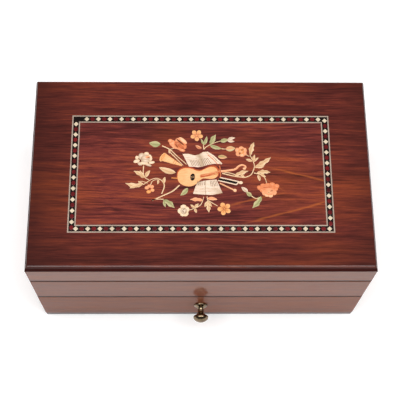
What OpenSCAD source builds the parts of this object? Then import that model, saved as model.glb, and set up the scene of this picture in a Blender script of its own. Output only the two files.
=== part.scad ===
// Cylinder music box: a two-tier lacquered box with a hinged, inlaid lid, one full-width
// drawer, a lined tray and a spring-driven cylinder movement under glass.
// The origin is at the centre of the footprint, on the surface the box stands on.
// +X is to the right of the front, -Y is the front and +Z is up.

/* [Case] */
// Width of the case from side to side
case_w = 272; // [260:1:300]
// Depth of the case from front to back
case_d = 164; // [156:1:180]
// Height of the box with the lid closed
case_h = 132.8; // [130:0.2:140]
// Thickness of the case boards
board_t = 9; // [8:0.5:10]
// Radius of the upright corners
corner_r = 0.8; // [0.6:0.1:3]

/* [Tiers] */
// Height of the felt feet
foot_h = 1.2; // [1:0.1:2]
// Height of the top of the base panel
base_top = 6.8; // [6:0.1:8]
// Height of the seam between the lower and the upper tier
seam_z = 56; // [54:0.5:58]
// Height of the top edge of the case, under the lid
case_top = 100; // [99:0.5:101]
// Height of the lower edge of the lid
lid_bottom = 101.2; // [101.2:0.1:101.6]
// Thickness of the tray floor
floor_t = 4; // [4:0.5:5]

/* [Lid] */
// Thickness of the top panel
panel_t = 6; // [5.5:0.5:7]
// Thickness of the lid rails
rail_t = 12; // [11:0.5:13]
// Radius at the top of the moulded lid edge
edge_r = 1.5; // [1:0.1:2]
// Width of the moulded lid edge, seen from above
edge_w = 2.9; // [2.5:0.1:3.5]
// Angle that the stop hinges allow
lid_angle = 97; // [90:1:100]

/* [Inlay] */
// Width of the bordered field, outside the stringing
border_w = 208.2; // [200:0.2:210]
// Depth of the bordered field, outside the stringing
border_d = 101.1; // [98:0.1:104]
// Width of the border with both strings
border_t = 6.4; // [6:0.1:7]
// Width of one string
string_w = 0.95; // [0.8:0.05:1.1]
// Size of a diamond along the border
diamond = 4; // [3:0.1:4.2]
// Distance from one diamond to the next
diamond_pitch = 9.4; // [9:0.1:10]
// Thickness of the veneers
veneer_t = 0.6; // [0.5:0.1:1]

/* [Drawer] */
// Thickness of the drawer front
front_t = 12; // [11:0.5:13]
// Thickness of the drawer sides and back
drawer_side_t = 6; // [5:0.5:7]
// Height of the drawer sides
drawer_side_h = 42; // [36:1:44]
// Clearance round the drawer
drawer_gap = 0.4; // [0.3:0.1:0.6]
// Distance that the knob stands out
knob_out = 15.5; // [15:0.5:18]
// Sideways place of the knob from the middle of the drawer front
knob_x = 0.9; // [-2:0.1:2]

/* [Movement] */
// Width of the movement bay
bay_w = 61; // [60:1:64]
// Height of the cylinder's axis
axis_z = 81; // [81:0.1:81.4]
// Radius of the cylinder
cylinder_r = 9; // [8.5:0.1:9]
// Length of the cylinder
cylinder_len = 58; // [56:1:58]
// Module of the barrel wheel and the cylinder pinion
drive_module = 0.7; // [0.7:0.01:0.7]
// Teeth of the barrel wheel
barrel_teeth = 40; // [40:1:40]
// Teeth of the cylinder pinion
pinion_teeth = 16; // [16:1:16]
// Module of the cylinder wheel and the governor pinion
train_module = 0.5; // [0.5:0.01:0.5]
// Teeth of the cylinder wheel
wheel_teeth = 48; // [48:1:48]
// Teeth of the governor pinion
governor_teeth = 12; // [12:1:12]
// Number of comb teeth
comb_teeth = 34; // [28:1:36]

/* [Hidden] */
$fn = 64;

half_w = case_w / 2;
half_d = case_d / 2;
in_x = half_w - board_t;
in_y = half_d - board_t;
drawer_z = base_top + drawer_gap;
front_top = seam_z;
floor_z = seam_z + 0.8;
floor_top = floor_z + floor_t;
lining_t = 1.5;
panel_z = case_h - panel_t;
veneer_z = case_h - veneer_t;
field_y = -1.65;
edge_lip = 0.6;
field_x = -0.1;
inner_w = border_w - 2 * border_t;
inner_d = border_d - 2 * border_t;
glass_z = 96.4;
glass_t = 2;
bay_x = -in_x + bay_w;
partition_t = 4;
hinge_y = half_d + 1.8;
hinge_z = (case_top + lid_bottom) / 2;
hinge_x = 85;
hinge_len = 30;
leaf_t = 0.8;
knuckle_r = 1.55;
pin_r = 0.75;
cyl_x = -86;
barrel_x = cyl_x - drive_module * (barrel_teeth + pinion_teeth) / 2;
gov_x = cyl_x - train_module * (wheel_teeth + governor_teeth) / 2;
fly_x = gov_x - 8.6;
fly_y = -25;
cyl_y = -14;
wheel_y = -18;
pinion_y = 45.6;
bed_z = 65;
rod_x = -124;

// ---- shared shapes ----

module footprint(w, d, r) {
  square([w - 2 * r, d], center = true);
  square([w, d - 2 * r], center = true);
  for (x = [-1, 1], y = [-1, 1])
    translate([x * (w / 2 - r), y * (d / 2 - r)])
      circle(r);
}

module slab(w, d, z0, z1, r) {
  translate([0, 0, z0])
    linear_extrude(z1 - z0)
      footprint(w, d, r);
}

module block(x0, x1, y0, y1, z0, z1) {
  translate([x0, y0, z0])
    cube([x1 - x0, y1 - y0, z1 - z0]);
}

// One board of a mitred frame: side 0 is the front, 1 the right, 2 the back and 3 the left.
module mitred_board(side, w, d, t, z0, z1, r) {
  a = w / 2 + 5;
  b = d / 2 + 5;
  reach = side % 2 == 0 ? b : a;
  span = side % 2 == 0 ? w / 2 : d / 2;
  depth = side % 2 == 0 ? d / 2 : w / 2;
  translate([0, 0, z0])
    linear_extrude(z1 - z0)
      intersection() {
        footprint(w, d, r);
        rotate(side * 90)
          polygon([[-span - reach + depth, -reach], [span + reach - depth, -reach],
                   [span - t, t - depth], [t - span, t - depth]]);
      }
}

module rod_y(x, z, y0, y1, r) {
  translate([x, y1, z])
    rotate([90, 0, 0])
      cylinder(h = y1 - y0, r = r);
}

module rod_x(y, z, x0, x1, r) {
  translate([x0, y, z])
    rotate([0, 90, 0])
      cylinder(h = x1 - x0, r = r);
}

module ring_band(w, d, t) {
  difference() {
    square([w, d], center = true);
    square([w - 2 * t, d - 2 * t], center = true);
  }
}

// ---- gears ----

function inv_deg(a) = tan(a) * 180 / PI - a;
function tooth_half(n, m, slack, r) =
  let (rp = m * n / 2, rb = rp * cos(20), q = max(r, rb), a = acos(min(1, rb / q)))
  (90 - slack * 90 / (m * PI)) / n + inv_deg(20) - inv_deg(a);
function gear_points(n, m, slack) =
  let (rp = m * n / 2, radii = [rp - 1.25 * m, max(rp * cos(20), rp - 0.9 * m), rp, rp + 0.5 * m, rp + 0.9 * m])
  [for (i = [0 : n - 1], k = [0 : 9])
    let (up = k < 5, r = radii[up ? k : 9 - k], h = tooth_half(n, m, slack, r), a = i * 360 / n + (up ? -h : h))
    [r * cos(a), r * sin(a)]];

module gear_y(n, m, slack, x, z, y0, y1, phase) {
  translate([x, y1, z])
    rotate([90, 0, 0])
      linear_extrude(y1 - y0)
        rotate(phase)
          polygon(gear_points(n, m, slack));
}

// ---- lower tier ----

module base_panel() {
  color("#3f1a12")
    slab(case_w - 0.4, case_d - 0.2, foot_h, base_top, corner_r + 0.4);
}

module felt_feet() {
  color("#2b2b28")
    for (x = [-1, 1], y = [-1, 1])
      translate([x * (half_w - 20), y * (half_d - 19), 0])
        cylinder(h = foot_h, r = 8);
}

module lower_board(side) {
  difference() {
    mitred_board(side, case_w, case_d, board_t, base_top, seam_z, corner_r);
    block(-half_w - 1, half_w + 1, -half_d - 1, -half_d + front_t + 0.6, 0, seam_z + 1);
  }
}

module lower_left_side() {
  color("#5a2619")
    lower_board(3);
}

module lower_right_side() {
  color("#5a2619")
    lower_board(1);
}

module lower_back() {
  color("#5a2619")
    lower_board(2);
}

// ---- upper tier ----

module tray_floor() {
  color("#a5723f")
    difference() {
      block(-in_x, in_x, -in_y, in_y, floor_z, floor_top);
      movement_screw_shanks(1.2);
    }
}

module upper_board(side) {
  difference() {
    mitred_board(side, case_w, case_d, board_t, seam_z, case_top, corner_r);
    translate([0, 0, seam_z - 1])
      linear_extrude(1.8)
        ring_band(case_w + 4, case_d + 4, 2.8);
  }
}

module upper_front() {
  color("#5a2619")
    difference() {
      upper_board(0);
      block(-half_w, half_w, -half_d - 1, -in_y + 1, seam_z - 1, floor_z);
    }
}

module hinge_recess(z0, z1) {
  for (x = [-1, 1])
    block(x * hinge_x - hinge_len / 2, x * hinge_x + hinge_len / 2, half_d - 7.5, half_d + 1, z0, z1);
}

module upper_back() {
  color("#5a2619")
    difference() {
      upper_board(2);
      hinge_recess(hinge_z - 0.1 - leaf_t, case_top + 1);
      hinge_screw_bodies(0, 0);
      rod_y(barrel_x, axis_z, in_y - 1, half_d + 1, 3.2);
    }
}

module upper_left_side() {
  color("#5a2619")
    upper_board(3);
}

module upper_right_side() {
  color("#5a2619")
    upper_board(1);
}

module tray_lining() {
  color("#5d1420")
    block(bay_x + partition_t + 0.2, in_x - 0.2, -in_y + 0.2, in_y - 0.2, floor_top, floor_top + lining_t);
}

divider_x = 62;
divider_t = 3;
divider_top = 90;

module tray_dividers() {
  color("#6a1a26") {
    block(divider_x, divider_x + divider_t, -in_y + 0.2, in_y - 0.2, floor_top + lining_t, divider_top);
    block(bay_x + partition_t + 0.2, divider_x, -divider_t / 2, divider_t / 2, floor_top + lining_t, divider_top);
  }
}

roll_count = 9;
roll_pitch = (2 * in_y - 1) / roll_count;

module ring_rolls() {
  color("#7a2230")
    for (i = [0 : roll_count - 1])
      translate([0, -in_y + 0.5 + (i + 0.5) * roll_pitch, floor_top + lining_t + 0.1]) {
        block(divider_x + divider_t + 0.4, in_x - 0.4, -roll_pitch / 2 + 0.3, roll_pitch / 2 - 0.3, 0, 8);
        rod_x(0, 8, divider_x + divider_t + 0.4, in_x - 0.4, roll_pitch / 2 - 0.3);
      }
}

// ---- movement bay ----

module movement_partition() {
  color("#5a2619")
    block(bay_x, bay_x + partition_t, -in_y + 0.1, in_y - 0.1, floor_top, glass_z + glass_t);
}

module glass_ledges() {
  color("#4a1f15") {
    difference() {
      union() {
        block(-in_x, -118.5, -in_y, in_y, glass_z - 3, glass_z);
        block(-in_x, -121.8, -in_y, in_y, glass_z, glass_z + glass_t);
      }
      block(-in_x - 1, -118, fly_y - 4, fly_y + 4, glass_z - 4, glass_z + glass_t + 1);
    }
    block(bay_x - 2.5, bay_x, -in_y, in_y, glass_z - 3, glass_z);
    difference() {
      block(-in_x, -120.6, fly_y - 4, fly_y + 4, 74, 82);
      translate([rod_x, fly_y, 70])
        cylinder(h = 20, r = 1.2);
    }
  }
}

module cover_glass() {
  color("#cfe3e6", 0.35)
    block(-121.6, bay_x - 0.2, -in_y + 0.4, in_y - 0.4, glass_z, glass_z + glass_t);
}

bed_screws = [[-118.4, -32], [-76, -32], [-118.4, 65], [-76, 65]];
comb_screws = [-4, 14.5, 33];

module movement_screw_shanks(grow) {
  for (p = bed_screws)
    translate([p[0], p[1], floor_z - 1])
      cylinder(h = 20, r = 1.3 * grow);
}

module bedplate() {
  color("#b08b45")
    difference() {
      union() {
        block(-122, -71, -37, 69, floor_top, bed_z);
        block(-119.5, -111, -13, 42, bed_z, axis_z - 1);
      }
      movement_screw_shanks(1.2);
      for (y = comb_screws)
        translate([-115.2, y, axis_z - 9])
          cylinder(h = 10, r = 1.25);
    }
}

module pan_screw(x, y, z, length) {
  translate([x, y, z]) {
    difference() {
      cylinder(h = 1.4, r = 2.4);
      translate([-3, -0.3, 0.8])
        cube([6, 0.6, 1]);
    }
    translate([0, 0, -length])
      cylinder(h = length, r = 1.2);
  }
}

module movement_screws() {
  color("#3c5a86") {
    for (p = bed_screws)
      pan_screw(p[0], p[1], bed_z, 8);
    for (y = comb_screws)
      pan_screw(-115.2, y, axis_z + 1.2, 9);
  }
}

comb_tip_x = cyl_x - cylinder_r - 0.75;
comb_y0 = -12.5;
comb_pitch = 53 / comb_teeth;

module comb() {
  color("#c9ccd2")
    difference() {
      block(-119.5, comb_tip_x, comb_y0, comb_y0 + 53, axis_z - 1, axis_z + 1.2);
      block(-111, comb_tip_x + 1, comb_y0 - 1, comb_y0 + 54, axis_z + 0.3, axis_z + 2);
      block(-109.5, comb_tip_x + 1, comb_y0 - 1, comb_y0 + 54, axis_z - 2, axis_z - 0.5);
      for (i = [1 : comb_teeth - 1])
        block(-110, comb_tip_x + 1, comb_y0 + i * comb_pitch - 0.2, comb_y0 + i * comb_pitch + 0.2,
              axis_z - 2, axis_z + 2);
      for (y = comb_screws)
        translate([-115.2, y, axis_z - 2])
          cylinder(h = 5, r = 1.25);
    }
}

module bearing(x, y0, y1, w, bore_r) {
  difference() {
    union() {
      block(x - w / 2, x + w / 2, y0, y1, bed_z, axis_z);
      rod_y(x, axis_z, y0, y1, w / 2);
      block(x - w / 2 - 3, x + w / 2 + 3, y0, y1, bed_z, bed_z + 2);
    }
    rod_y(x, axis_z, y0 - 1, y1 + 1, bore_r);
  }
}

module cylinder_bearings() {
  color("#c39a4e") {
    bearing(cyl_x, -22.5, -20, 9, 1.55);
    bearing(cyl_x, 49.5, 52, 9, 1.55);
  }
}

click_x = barrel_x + 9.5;
click_z = axis_z + 3.5;

module barrel_bracket() {
  color("#c39a4e") {
    bearing(barrel_x, 42.2, 44, 12, 2.45);
    bearing(barrel_x, 63.6, 65.8, 12, 2.45);
    block(barrel_x + 4, click_x + 2.5, 63.6, 65.8, click_z - 4, click_z + 2);
    rod_y(click_x, click_z, 65, 69.4, 1);
  }
}

module governor_frame() {
  color("#c39a4e")
    difference() {
      union() {
        block(fly_x - 3.5, gov_x + 4, -32.5, -31, bed_z, 90);
        block(fly_x - 3.5, gov_x + 4, -15.4, -13.9, bed_z, 90);
        block(fly_x - 3.5, gov_x + 4, -32.5, -13.9, 88.4, 90);
        block(fly_x - 3.5, gov_x + 4, -32.5, -13.9, bed_z, bed_z + 1.5);
      }
      rod_y(gov_x, axis_z, -33, -13, 1.05);
      translate([fly_x, fly_y, bed_z + 0.3])
        cylinder(h = 40, r = 0.75);
    }
}

ratchet_teeth = 18;
ratchet_r = 7.6;

module winding_arbor() {
  color("#8f959c") {
    difference() {
      rod_y(barrel_x, axis_z, 41.2, half_d + 8, 2.4);
      for (a = [0 : 90 : 270])
        rotate_about(barrel_x, axis_z, a)
          block(barrel_x + 1.7, barrel_x + 4, half_d + 2.8, half_d + 9, axis_z - 4, axis_z + 4);
    }
    difference() {
      translate([barrel_x, 68.4, axis_z])
        rotate([90, 0, 0])
          linear_extrude(1.5)
            polygon([for (i = [0 : ratchet_teeth - 1], k = [0 : 1])
              let (r = k == 0 ? ratchet_r : ratchet_r - 1.3, a = (i + k * 0.12) * 360 / ratchet_teeth)
              [r * cos(a), r * sin(a)]]);
      rod_y(barrel_x, axis_z, 66, 69, 2.3);
    }
  }
}

module click() {
  color("#8f959c")
    translate([0, 68.4, 0])
      rotate([90, 0, 0])
        linear_extrude(1.5)
          difference() {
            union() {
              translate([click_x, click_z])
                circle(2.2);
              translate([click_x, click_z])
                polygon([[-1.7, 0], [0.6, 2], [-5, 4.3], [-5.6, 3.25], [-3.4, 2.1]]);
            }
            translate([click_x, click_z])
              circle(1.05);
          }
}

module winding_key() {
  wing_y = half_d + 7.4;
  color("#c39a4e")
    difference() {
      union() {
        rod_y(barrel_x, axis_z, half_d + 1.8, half_d + 9, 3.4);
        intersection() {
          block(barrel_x - 11, barrel_x + 11, wing_y, half_d + knob_out, axis_z - 1.1, axis_z + 1.1);
          union() {
            for (x = [-1, 1])
              translate([barrel_x + x * 6.2, half_d + knob_out - 4.8, axis_z - 2])
                cylinder(h = 4, r = 4.8);
            block(barrel_x - 5, barrel_x + 5, wing_y, half_d + knob_out - 3.6, axis_z - 2, axis_z + 2);
          }
        }
      }
      block(barrel_x - 1.75, barrel_x + 1.75, half_d, half_d + 8.2, axis_z - 1.75, axis_z + 1.75);
      rod_y(barrel_x, axis_z, half_d, half_d + 3, 2.45);
    }
}

module key_plate() {
  color("#c39a4e")
    difference() {
      rod_y(barrel_x, axis_z, half_d, half_d + 1.2, 8);
      rod_y(barrel_x, axis_z, half_d - 1, half_d + 2, 3.2);
    }
}

barrel_y = 47.8;
barrel_r = 12.6;

module spring_barrel() {
  color("#c8a050")
    difference() {
      union() {
        rod_y(barrel_x, axis_z, barrel_y, 62.4, barrel_r);
        gear_y(barrel_teeth, drive_module, 0.16, barrel_x, axis_z, pinion_y, barrel_y + 0.1, 0);
      }
      rod_y(barrel_x, axis_z, barrel_y + 0.6, 61.2, barrel_r - 1.1);
      rod_y(barrel_x, axis_z, 40, 70, 2.45);
    }
}

spring_turns = 5;
spring_steps = 20 * spring_turns;
function spring_at(i, grow) =
  let (a = i * 360 / 20, r = 4 + i * 6.9 / spring_steps + grow)
  [r * cos(a), r * sin(a)];

module mainspring() {
  color("#7d848c")
    translate([barrel_x, 60.6, axis_z])
      rotate([90, 0, 0])
        linear_extrude(11.6)
          polygon(concat([for (i = [0 : spring_steps]) spring_at(i, 0)],
                         [for (i = [spring_steps : -1 : 0]) spring_at(i, 0.4)]));
}

pin_rows = 17;

module cylinder_pins() {
  for (i = [0 : pin_rows - 1], k = [0 : 3])
    let (y = comb_y0 + (2 * i + 0.5) * comb_pitch, a = i * 137.5 + k * 83 + (i % 3) * 20)
      translate([cyl_x, y, axis_z])
        rotate([0, a, 0])
          translate([0, 0, cylinder_r - 0.5])
            cylinder(h = 1, r = 0.3, $fn = 6);
}

module cylinder_tube() {
  difference() {
    rod_y(cyl_x, axis_z, cyl_y, cyl_y + cylinder_len, cylinder_r);
    rod_y(cyl_x, axis_z, cyl_y + 1.5, cyl_y + cylinder_len - 1.5, cylinder_r - 1);
    rod_y(cyl_x, axis_z, cyl_y - 1, cyl_y + cylinder_len + 1, 2);
  }
}

module cylinder_wheels() {
  color("#c8a050") {
    rod_y(cyl_x, axis_z, -24, 53.5, 1.5);
    difference() {
      rod_y(cyl_x, axis_z, -15.9, pinion_y, 2);
      rod_y(cyl_x, axis_z, -25, 54, 1.4);
    }
    difference() {
      gear_y(wheel_teeth, train_module, 0.12, cyl_x, axis_z, wheel_y, wheel_y + 2.1, 0);
      rod_y(cyl_x, axis_z, wheel_y - 1, wheel_y + 3, 1.4);
      for (a = [0 : 60 : 300])
        rotate_about(cyl_x, axis_z, a)
          rod_y(cyl_x + 6.4, axis_z, wheel_y - 1, wheel_y + 3, 2.2);
    }
    difference() {
      gear_y(pinion_teeth, drive_module, 0.16, cyl_x, axis_z, pinion_y, barrel_y, 180 / pinion_teeth);
      rod_y(cyl_x, axis_z, pinion_y - 1, barrel_y + 1, 1.4);
    }
  }
}

module rotate_about(x, z, a) {
  translate([x, 0, z])
    rotate([0, a, 0])
      translate([-x, 0, -z])
        children();
}

module cylinder_drum() {
  color("#cda24a")
    union() {
      cylinder_tube();
      cylinder_pins();
    }
}

worm_wheel_teeth = 20;

module governor_wheel() {
  color("#b9bdc3") {
    rod_y(gov_x, axis_z, -32.3, -13.7, 1);
    gear_sleeve(governor_teeth, train_module, 0.12, wheel_y - 0.4, wheel_y + 2.5, 180 / governor_teeth);
    gear_sleeve(worm_wheel_teeth, 0.6, 0.3, fly_y - 1, fly_y + 1, 0);
  }
}

module gear_sleeve(n, m, slack, y0, y1, phase) {
  difference() {
    gear_y(n, m, slack, gov_x, axis_z, y0, y1, phase);
    rod_y(gov_x, axis_z, y0 - 1, y1 + 1, 0.95);
  }
}

worm_lead = 3.8;
worm_len = 11.4;

module governor_fly() {
  color("#b9bdc3")
    translate([fly_x, fly_y, 0]) {
      difference() {
        union() {
          translate([0, 0, bed_z + 0.4])
            cylinder(h = 26, r = 0.7);
          translate([0, 0, 90.3])
            cylinder(h = 1.1, r = 3);
          translate([0, 0, 67.2])
            cylinder(h = 3.8, r = 1.5);
        }
      }
      for (a = [0, 180])
        rotate(a)
          translate([1.3, -0.25, 67.4])
            cube([3.3, 0.5, 3.4]);
      difference() {
        translate([0, 0, axis_z - worm_len / 2])
          linear_extrude(worm_len, twist = -360 * worm_len / worm_lead, slices = 30, $fn = 8)
            polygon([[1.8, -0.4], [1.8, 0.4], [0.9, 1], [-0.9, 1], [-1.8, 0.4], [-1.8, -0.4], [-0.9, -1], [0.9, -1]]);
        translate([0, 0, axis_z - worm_len])
          cylinder(h = 2 * worm_len, r = 0.65);
      }
    }
}

module stop_rod() {
  color("#8f959c") {
    translate([rod_x, fly_y, 71])
      cylinder(h = lid_bottom - 0.1 - 71, r = 1.1);
    difference() {
      block(rod_x, fly_x + 2.5, fly_y - 1.2, fly_y + 1.2, 91.6, 92.8);
      translate([rod_x, fly_y, 90])
        cylinder(h = 4, r = 1);
    }
  }
}

// ---- hinges ----

module hinge_barrels(first) {
  pitch = hinge_len / 5;
  for (x = [-1, 1], i = [first : 2 : 4])
    translate([x * hinge_x - hinge_len / 2 + i * pitch + 0.1, 0, 0])
      children();
}

module hinge_screw_bodies(side, grow) {
  for (x = [-1, 1], k = [-1, 1])
    translate([x * hinge_x + k * 9, half_d - 4.2, side == 0 ? hinge_z - 0.1 : hinge_z + 0.1])
      mirror([0, 0, side])
        translate([0, 0, -7]) {
          cylinder(h = 6.5, r = 0.9 + grow);
          translate([0, 0, 6.1])
            cylinder(h = 0.9, r1 = 0.9 + grow, r2 = 1.8 + grow);
        }
}

module hinge_leaves(side, first) {
  knuckle = hinge_len / 5 - 0.2;
  z0 = side == 0 ? hinge_z - 0.1 - leaf_t : hinge_z + 0.1;
  difference() {
    union() {
      for (x = [-1, 1])
        block(x * hinge_x - hinge_len / 2 + 0.1, x * hinge_x + hinge_len / 2 - 0.1,
              half_d - 7.4, half_d - 0.1, z0, z0 + leaf_t);
      hinge_barrels(first) {
        block(0, knuckle, half_d - 0.2, hinge_y - 1.15, z0, z0 + leaf_t);
        rod_x(hinge_y, hinge_z, 0, knuckle, knuckle_r);
      }
    }
    for (x = [-1, 1])
      rod_x(hinge_y, hinge_z, x * hinge_x - hinge_len, x * hinge_x + hinge_len,
            side == 0 ? pin_r : pin_r + 0.04);
    hinge_screw_bodies(side, 0);
  }
}

module hinge_case_leaves() {
  color("#c39a4e")
    hinge_leaves(0, 0);
}

module hinge_lid_leaves() {
  color("#c39a4e")
    hinge_leaves(1, 1);
}

module hinge_pins() {
  color("#b08b45")
    for (x = [-1, 1]) {
      rod_x(hinge_y, hinge_z, x * hinge_x - hinge_len / 2, x * hinge_x + hinge_len / 2, pin_r);
      rod_x(hinge_y, hinge_z, x * hinge_x - hinge_len / 2 - 0.5, x * hinge_x - hinge_len / 2, 1.2);
      rod_x(hinge_y, hinge_z, x * hinge_x + hinge_len / 2, x * hinge_x + hinge_len / 2 + 0.5, 1.2);
    }
}

module hinge_case_screws() {
  color("#c39a4e")
    hinge_screw_bodies(0, 0);
}

module hinge_lid_screws() {
  color("#c39a4e")
    hinge_screw_bodies(1, 0);
}

// ---- lid ----

// Section of the top panel: upright lip, slope, then a round that the slope meets at a tangent.
module edge_profile(w) {
  rise = panel_t - edge_r - edge_lip;
  reach = norm([edge_w, rise]);
  a = acos(edge_r / reach) - atan2(rise, edge_w);
  tip = [w / 2 - edge_w + edge_r * cos(a), case_h - edge_r + edge_r * sin(a)];
  round_x = w / 2 - edge_w;
  polygon([[-w / 2, panel_z], [w / 2, panel_z], [w / 2, panel_z + edge_lip], tip, [round_x, case_h - edge_r],
           [round_x, case_h], [-round_x, case_h], [-round_x, case_h - edge_r], [-tip.x, tip.y],
           [-w / 2, panel_z + edge_lip]]);
  for (x = [-1, 1])
    translate([x * round_x, case_h - edge_r])
      circle(edge_r);
}

module lid_panel() {
  color("#4f2015")
    difference() {
      intersection() {
        rotate([90, 0, 0])
          linear_extrude(case_d, center = true)
            edge_profile(case_w);
        rotate([90, 0, 90])
          linear_extrude(case_w, center = true)
            edge_profile(case_d);
      }
      translate([field_x, field_y, veneer_z])
        linear_extrude(veneer_t + 1)
          square([border_w, border_d], center = true);
    }
}

module lid_rail(side) {
  mitred_board(side, case_w, case_d, rail_t, lid_bottom, panel_z, 0.6);
}

module lid_front_rail() {
  color("#5a2619")
    lid_rail(0);
}

module lid_back_rail() {
  color("#5a2619")
    difference() {
      lid_rail(2);
      hinge_recess(lid_bottom - 1, hinge_z + 0.1 + leaf_t);
      hinge_screw_bodies(1, 0);
    }
}

module lid_left_rail() {
  color("#5a2619")
    lid_rail(3);
}

module lid_right_rail() {
  color("#5a2619")
    lid_rail(1);
}

module lid_mirror() {
  color("#dfe6ea")
    block(-95, 95, -50, 50, panel_z - 3, panel_z - 1);
}

module lid_lining() {
  color("#5d1420")
    difference() {
      block(-half_w + rail_t, half_w - rail_t, -half_d + rail_t, half_d - rail_t, panel_z - 3, panel_z);
      block(-95, 95, -50, 50, panel_z - 4, panel_z - 1);
    }
}

// ---- inlay ----

module in_veneer() {
  translate([0, 0, veneer_z])
    linear_extrude(veneer_t)
      children();
}

module diamonds() {
  side_y = (border_d - border_t) / 2;
  side_x = (border_w - border_t) / 2;
  for (i = [0 : 20])
    translate([-92.5 + i * diamond_pitch, field_y + side_y])
      rotate(45)
        square(diamond / sqrt(2), center = true);
  for (i = [0 : 21])
    translate([-97.6 + i * diamond_pitch, field_y - side_y])
      rotate(45)
        square(diamond / sqrt(2), center = true);
  for (i = [0 : 9]) {
    translate([field_x - side_x, 41.2 - i * diamond_pitch])
      rotate(45)
        square(diamond / sqrt(2), center = true);
    translate([field_x + side_x, 44.6 - i * diamond_pitch])
      rotate(45)
        square(diamond / sqrt(2), center = true);
  }
}

module border_stringing() {
  color("#e9dcc0")
    in_veneer()
      translate([field_x, field_y]) {
        ring_band(border_w, border_d, string_w);
        ring_band(inner_w + 2 * string_w, inner_d + 2 * string_w, string_w);
      }
}

module border_band() {
  color("#17100c")
    in_veneer()
      difference() {
        translate([field_x, field_y])
          ring_band(border_w - 2 * string_w, border_d - 2 * string_w, border_t - 2 * string_w);
        diamonds();
      }
}

module border_diamonds() {
  color("#f1e6cc")
    in_veneer()
      diamonds();
}

// A leaf from base to tip, bounded by two equal arcs, w wide at the middle.
module leaf(x0, y0, x1, y1, w) {
  len = norm([x1 - x0, y1 - y0]);
  r = (len * len / 4 + w * w / 4) / w;
  translate([(x0 + x1) / 2, (y0 + y1) / 2])
    rotate(atan2(y1 - y0, x1 - x0))
      intersection() {
        translate([0, r - w / 2])
          circle(r);
        translate([0, w / 2 - r])
          circle(r);
      }
}

module petals(x, y, r, count, turn) {
  for (i = [0 : count - 1])
    translate([x, y])
      rotate(turn + i * 360 / count)
        translate([r * 0.55, 0])
          circle(r * 0.45);
  translate([x, y])
    circle(r * 0.45);
}

leaves = [
  [-32.7, 24.2, -41.5, 25.3, 5], [-46, -5, -53.5, 0.8, 4], [-43.8, -4.4, -40.6, 1.2, 3.4],
  [-46, -10.6, -60, -9.9, 4.4], [-29.7, -9.9, -28.8, -4.4, 2.6], [-20.5, -0.6, -33.3, 3.9, 4.8],
  [-29.9, -24, -21.1, -30.5, 4.2], [-10.8, -14.1, -16.2, -19.9, 3], [-5.4, -30.4, -2.2, -27, 2.6],
  [2.5, 23.7, 4.7, 31.2, 2.6], [7.8, 24.2, 11.9, 32.8, 3.9], [7.4, 23.3, 16.4, 20.4, 3.2],
  [16.4, 27.4, 21.4, 28.2, 3.2], [20, 20.1, 27.4, 20.6, 4.4], [13.6, 13.4, 20.8, 12.8, 3.4],
  [27, -3, 37.4, 0.8, 3.6], [43.4, 4.3, 55.8, 12.8, 4.4], [38.9, 15.3, 42.5, 25.9, 4.2],
  [44.6, -0.6, 54.9, -0.2, 4], [45.4, -2.8, 46.6, -8, 2.6], [47.2, -21.3, 40.1, -30.5, 4.4],
  [5.2, -22, 12.4, -24, 3], [5.3, -26.4, 5.8, -34.3, 3.2], [-25, 19.6, -25.6, 15.6, 2.2],
  [32.2, -13, 37.6, -17.6, 4.2]
];

blooms = [
  [-18, 25.6, 6.4, 7, 10], [-45.2, 11.4, 7, 7, 30], [-40.2, -14.7, 3.6, 5, 20], [-13.8, -32.7, 4.4, 6, 0],
  [-3.3, 32.3, 4.6, 5, 18], [31.7, 17.6, 4.4, 5, 50], [51.7, -14.9, 6.6, 8, 0], [17.2, -30.8, 5, 5, 10],
  [24.6, 28.7, 2.6, 5, 0]
];

module leaf_shapes() {
  for (p = leaves)
    leaf(p[0], p[1], p[2], p[3], p[4]);
}

module bloom_shapes() {
  for (p = blooms)
    petals(p[0], p[1], p[2], p[3], p[4]);
}

module sheet_shapes() {
  polygon([[-10.2, 6], [6, 6.4], [16.1, 7], [4.4, 17.3], [-1.3, 14.8], [-14.9, 15.9]]);
  polygon([[-6.3, -18.6], [11.7, -19.7], [16.7, -18], [12.2, -6.6], [6, -8], [-6.3, -12.4]]);
}

module violin_shape() {
  translate([-11.2, -4.2])
    circle(8.1);
  translate([8.2, 0])
    circle(6);
  polygon([[-8, -11.4], [9, -5.9], [7, 5.7], [-8, 3.2]]);
  polygon([[10, -1.4], [29.6, 3.2], [29.2, 4.9], [10, 1.6]]);
  translate([31.6, 4.4])
    circle(3.2);
}

module lid_veneer() {
  color("#6b2a1b")
    in_veneer()
      difference() {
        translate([field_x, field_y])
          square([inner_w, inner_d], center = true);
        leaf_shapes();
        bloom_shapes();
        sheet_shapes();
        violin_shape();
      }
}

module motif_leaves() {
  color("#b9c39a")
    in_veneer()
      difference() {
        leaf_shapes();
        bloom_shapes();
      }
}

module motif_flowers() {
  color("#e58a55")
    in_veneer()
      bloom_shapes();
}

module motif_sheets() {
  color("#f2ead8")
    in_veneer()
      difference() {
        sheet_shapes();
        violin_shape();
      }
}

module motif_violin() {
  color("#d9974a")
    in_veneer()
      violin_shape();
}

// ---- drawer ----

drawer_x = in_x - 1.2;
drawer_back_y = in_y - 6;
drawer_front_y = -half_d + front_t;

module drawer_front() {
  color("#5a2619")
    difference() {
      intersection() {
        slab(case_w, case_d, drawer_z, front_top, corner_r);
        block(-half_w, half_w, -half_d, drawer_front_y, 0, case_h);
      }
      rod_y(knob_x, (drawer_z + front_top) / 2, -half_d - 1, drawer_front_y + 1, 1.8);
    }
}

module drawer_side(s) {
  translate([s * (drawer_x - drawer_side_t / 2), 0, 0])
    block(-drawer_side_t / 2, drawer_side_t / 2, drawer_front_y, drawer_back_y, drawer_z,
          drawer_z + drawer_side_h);
}

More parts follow.
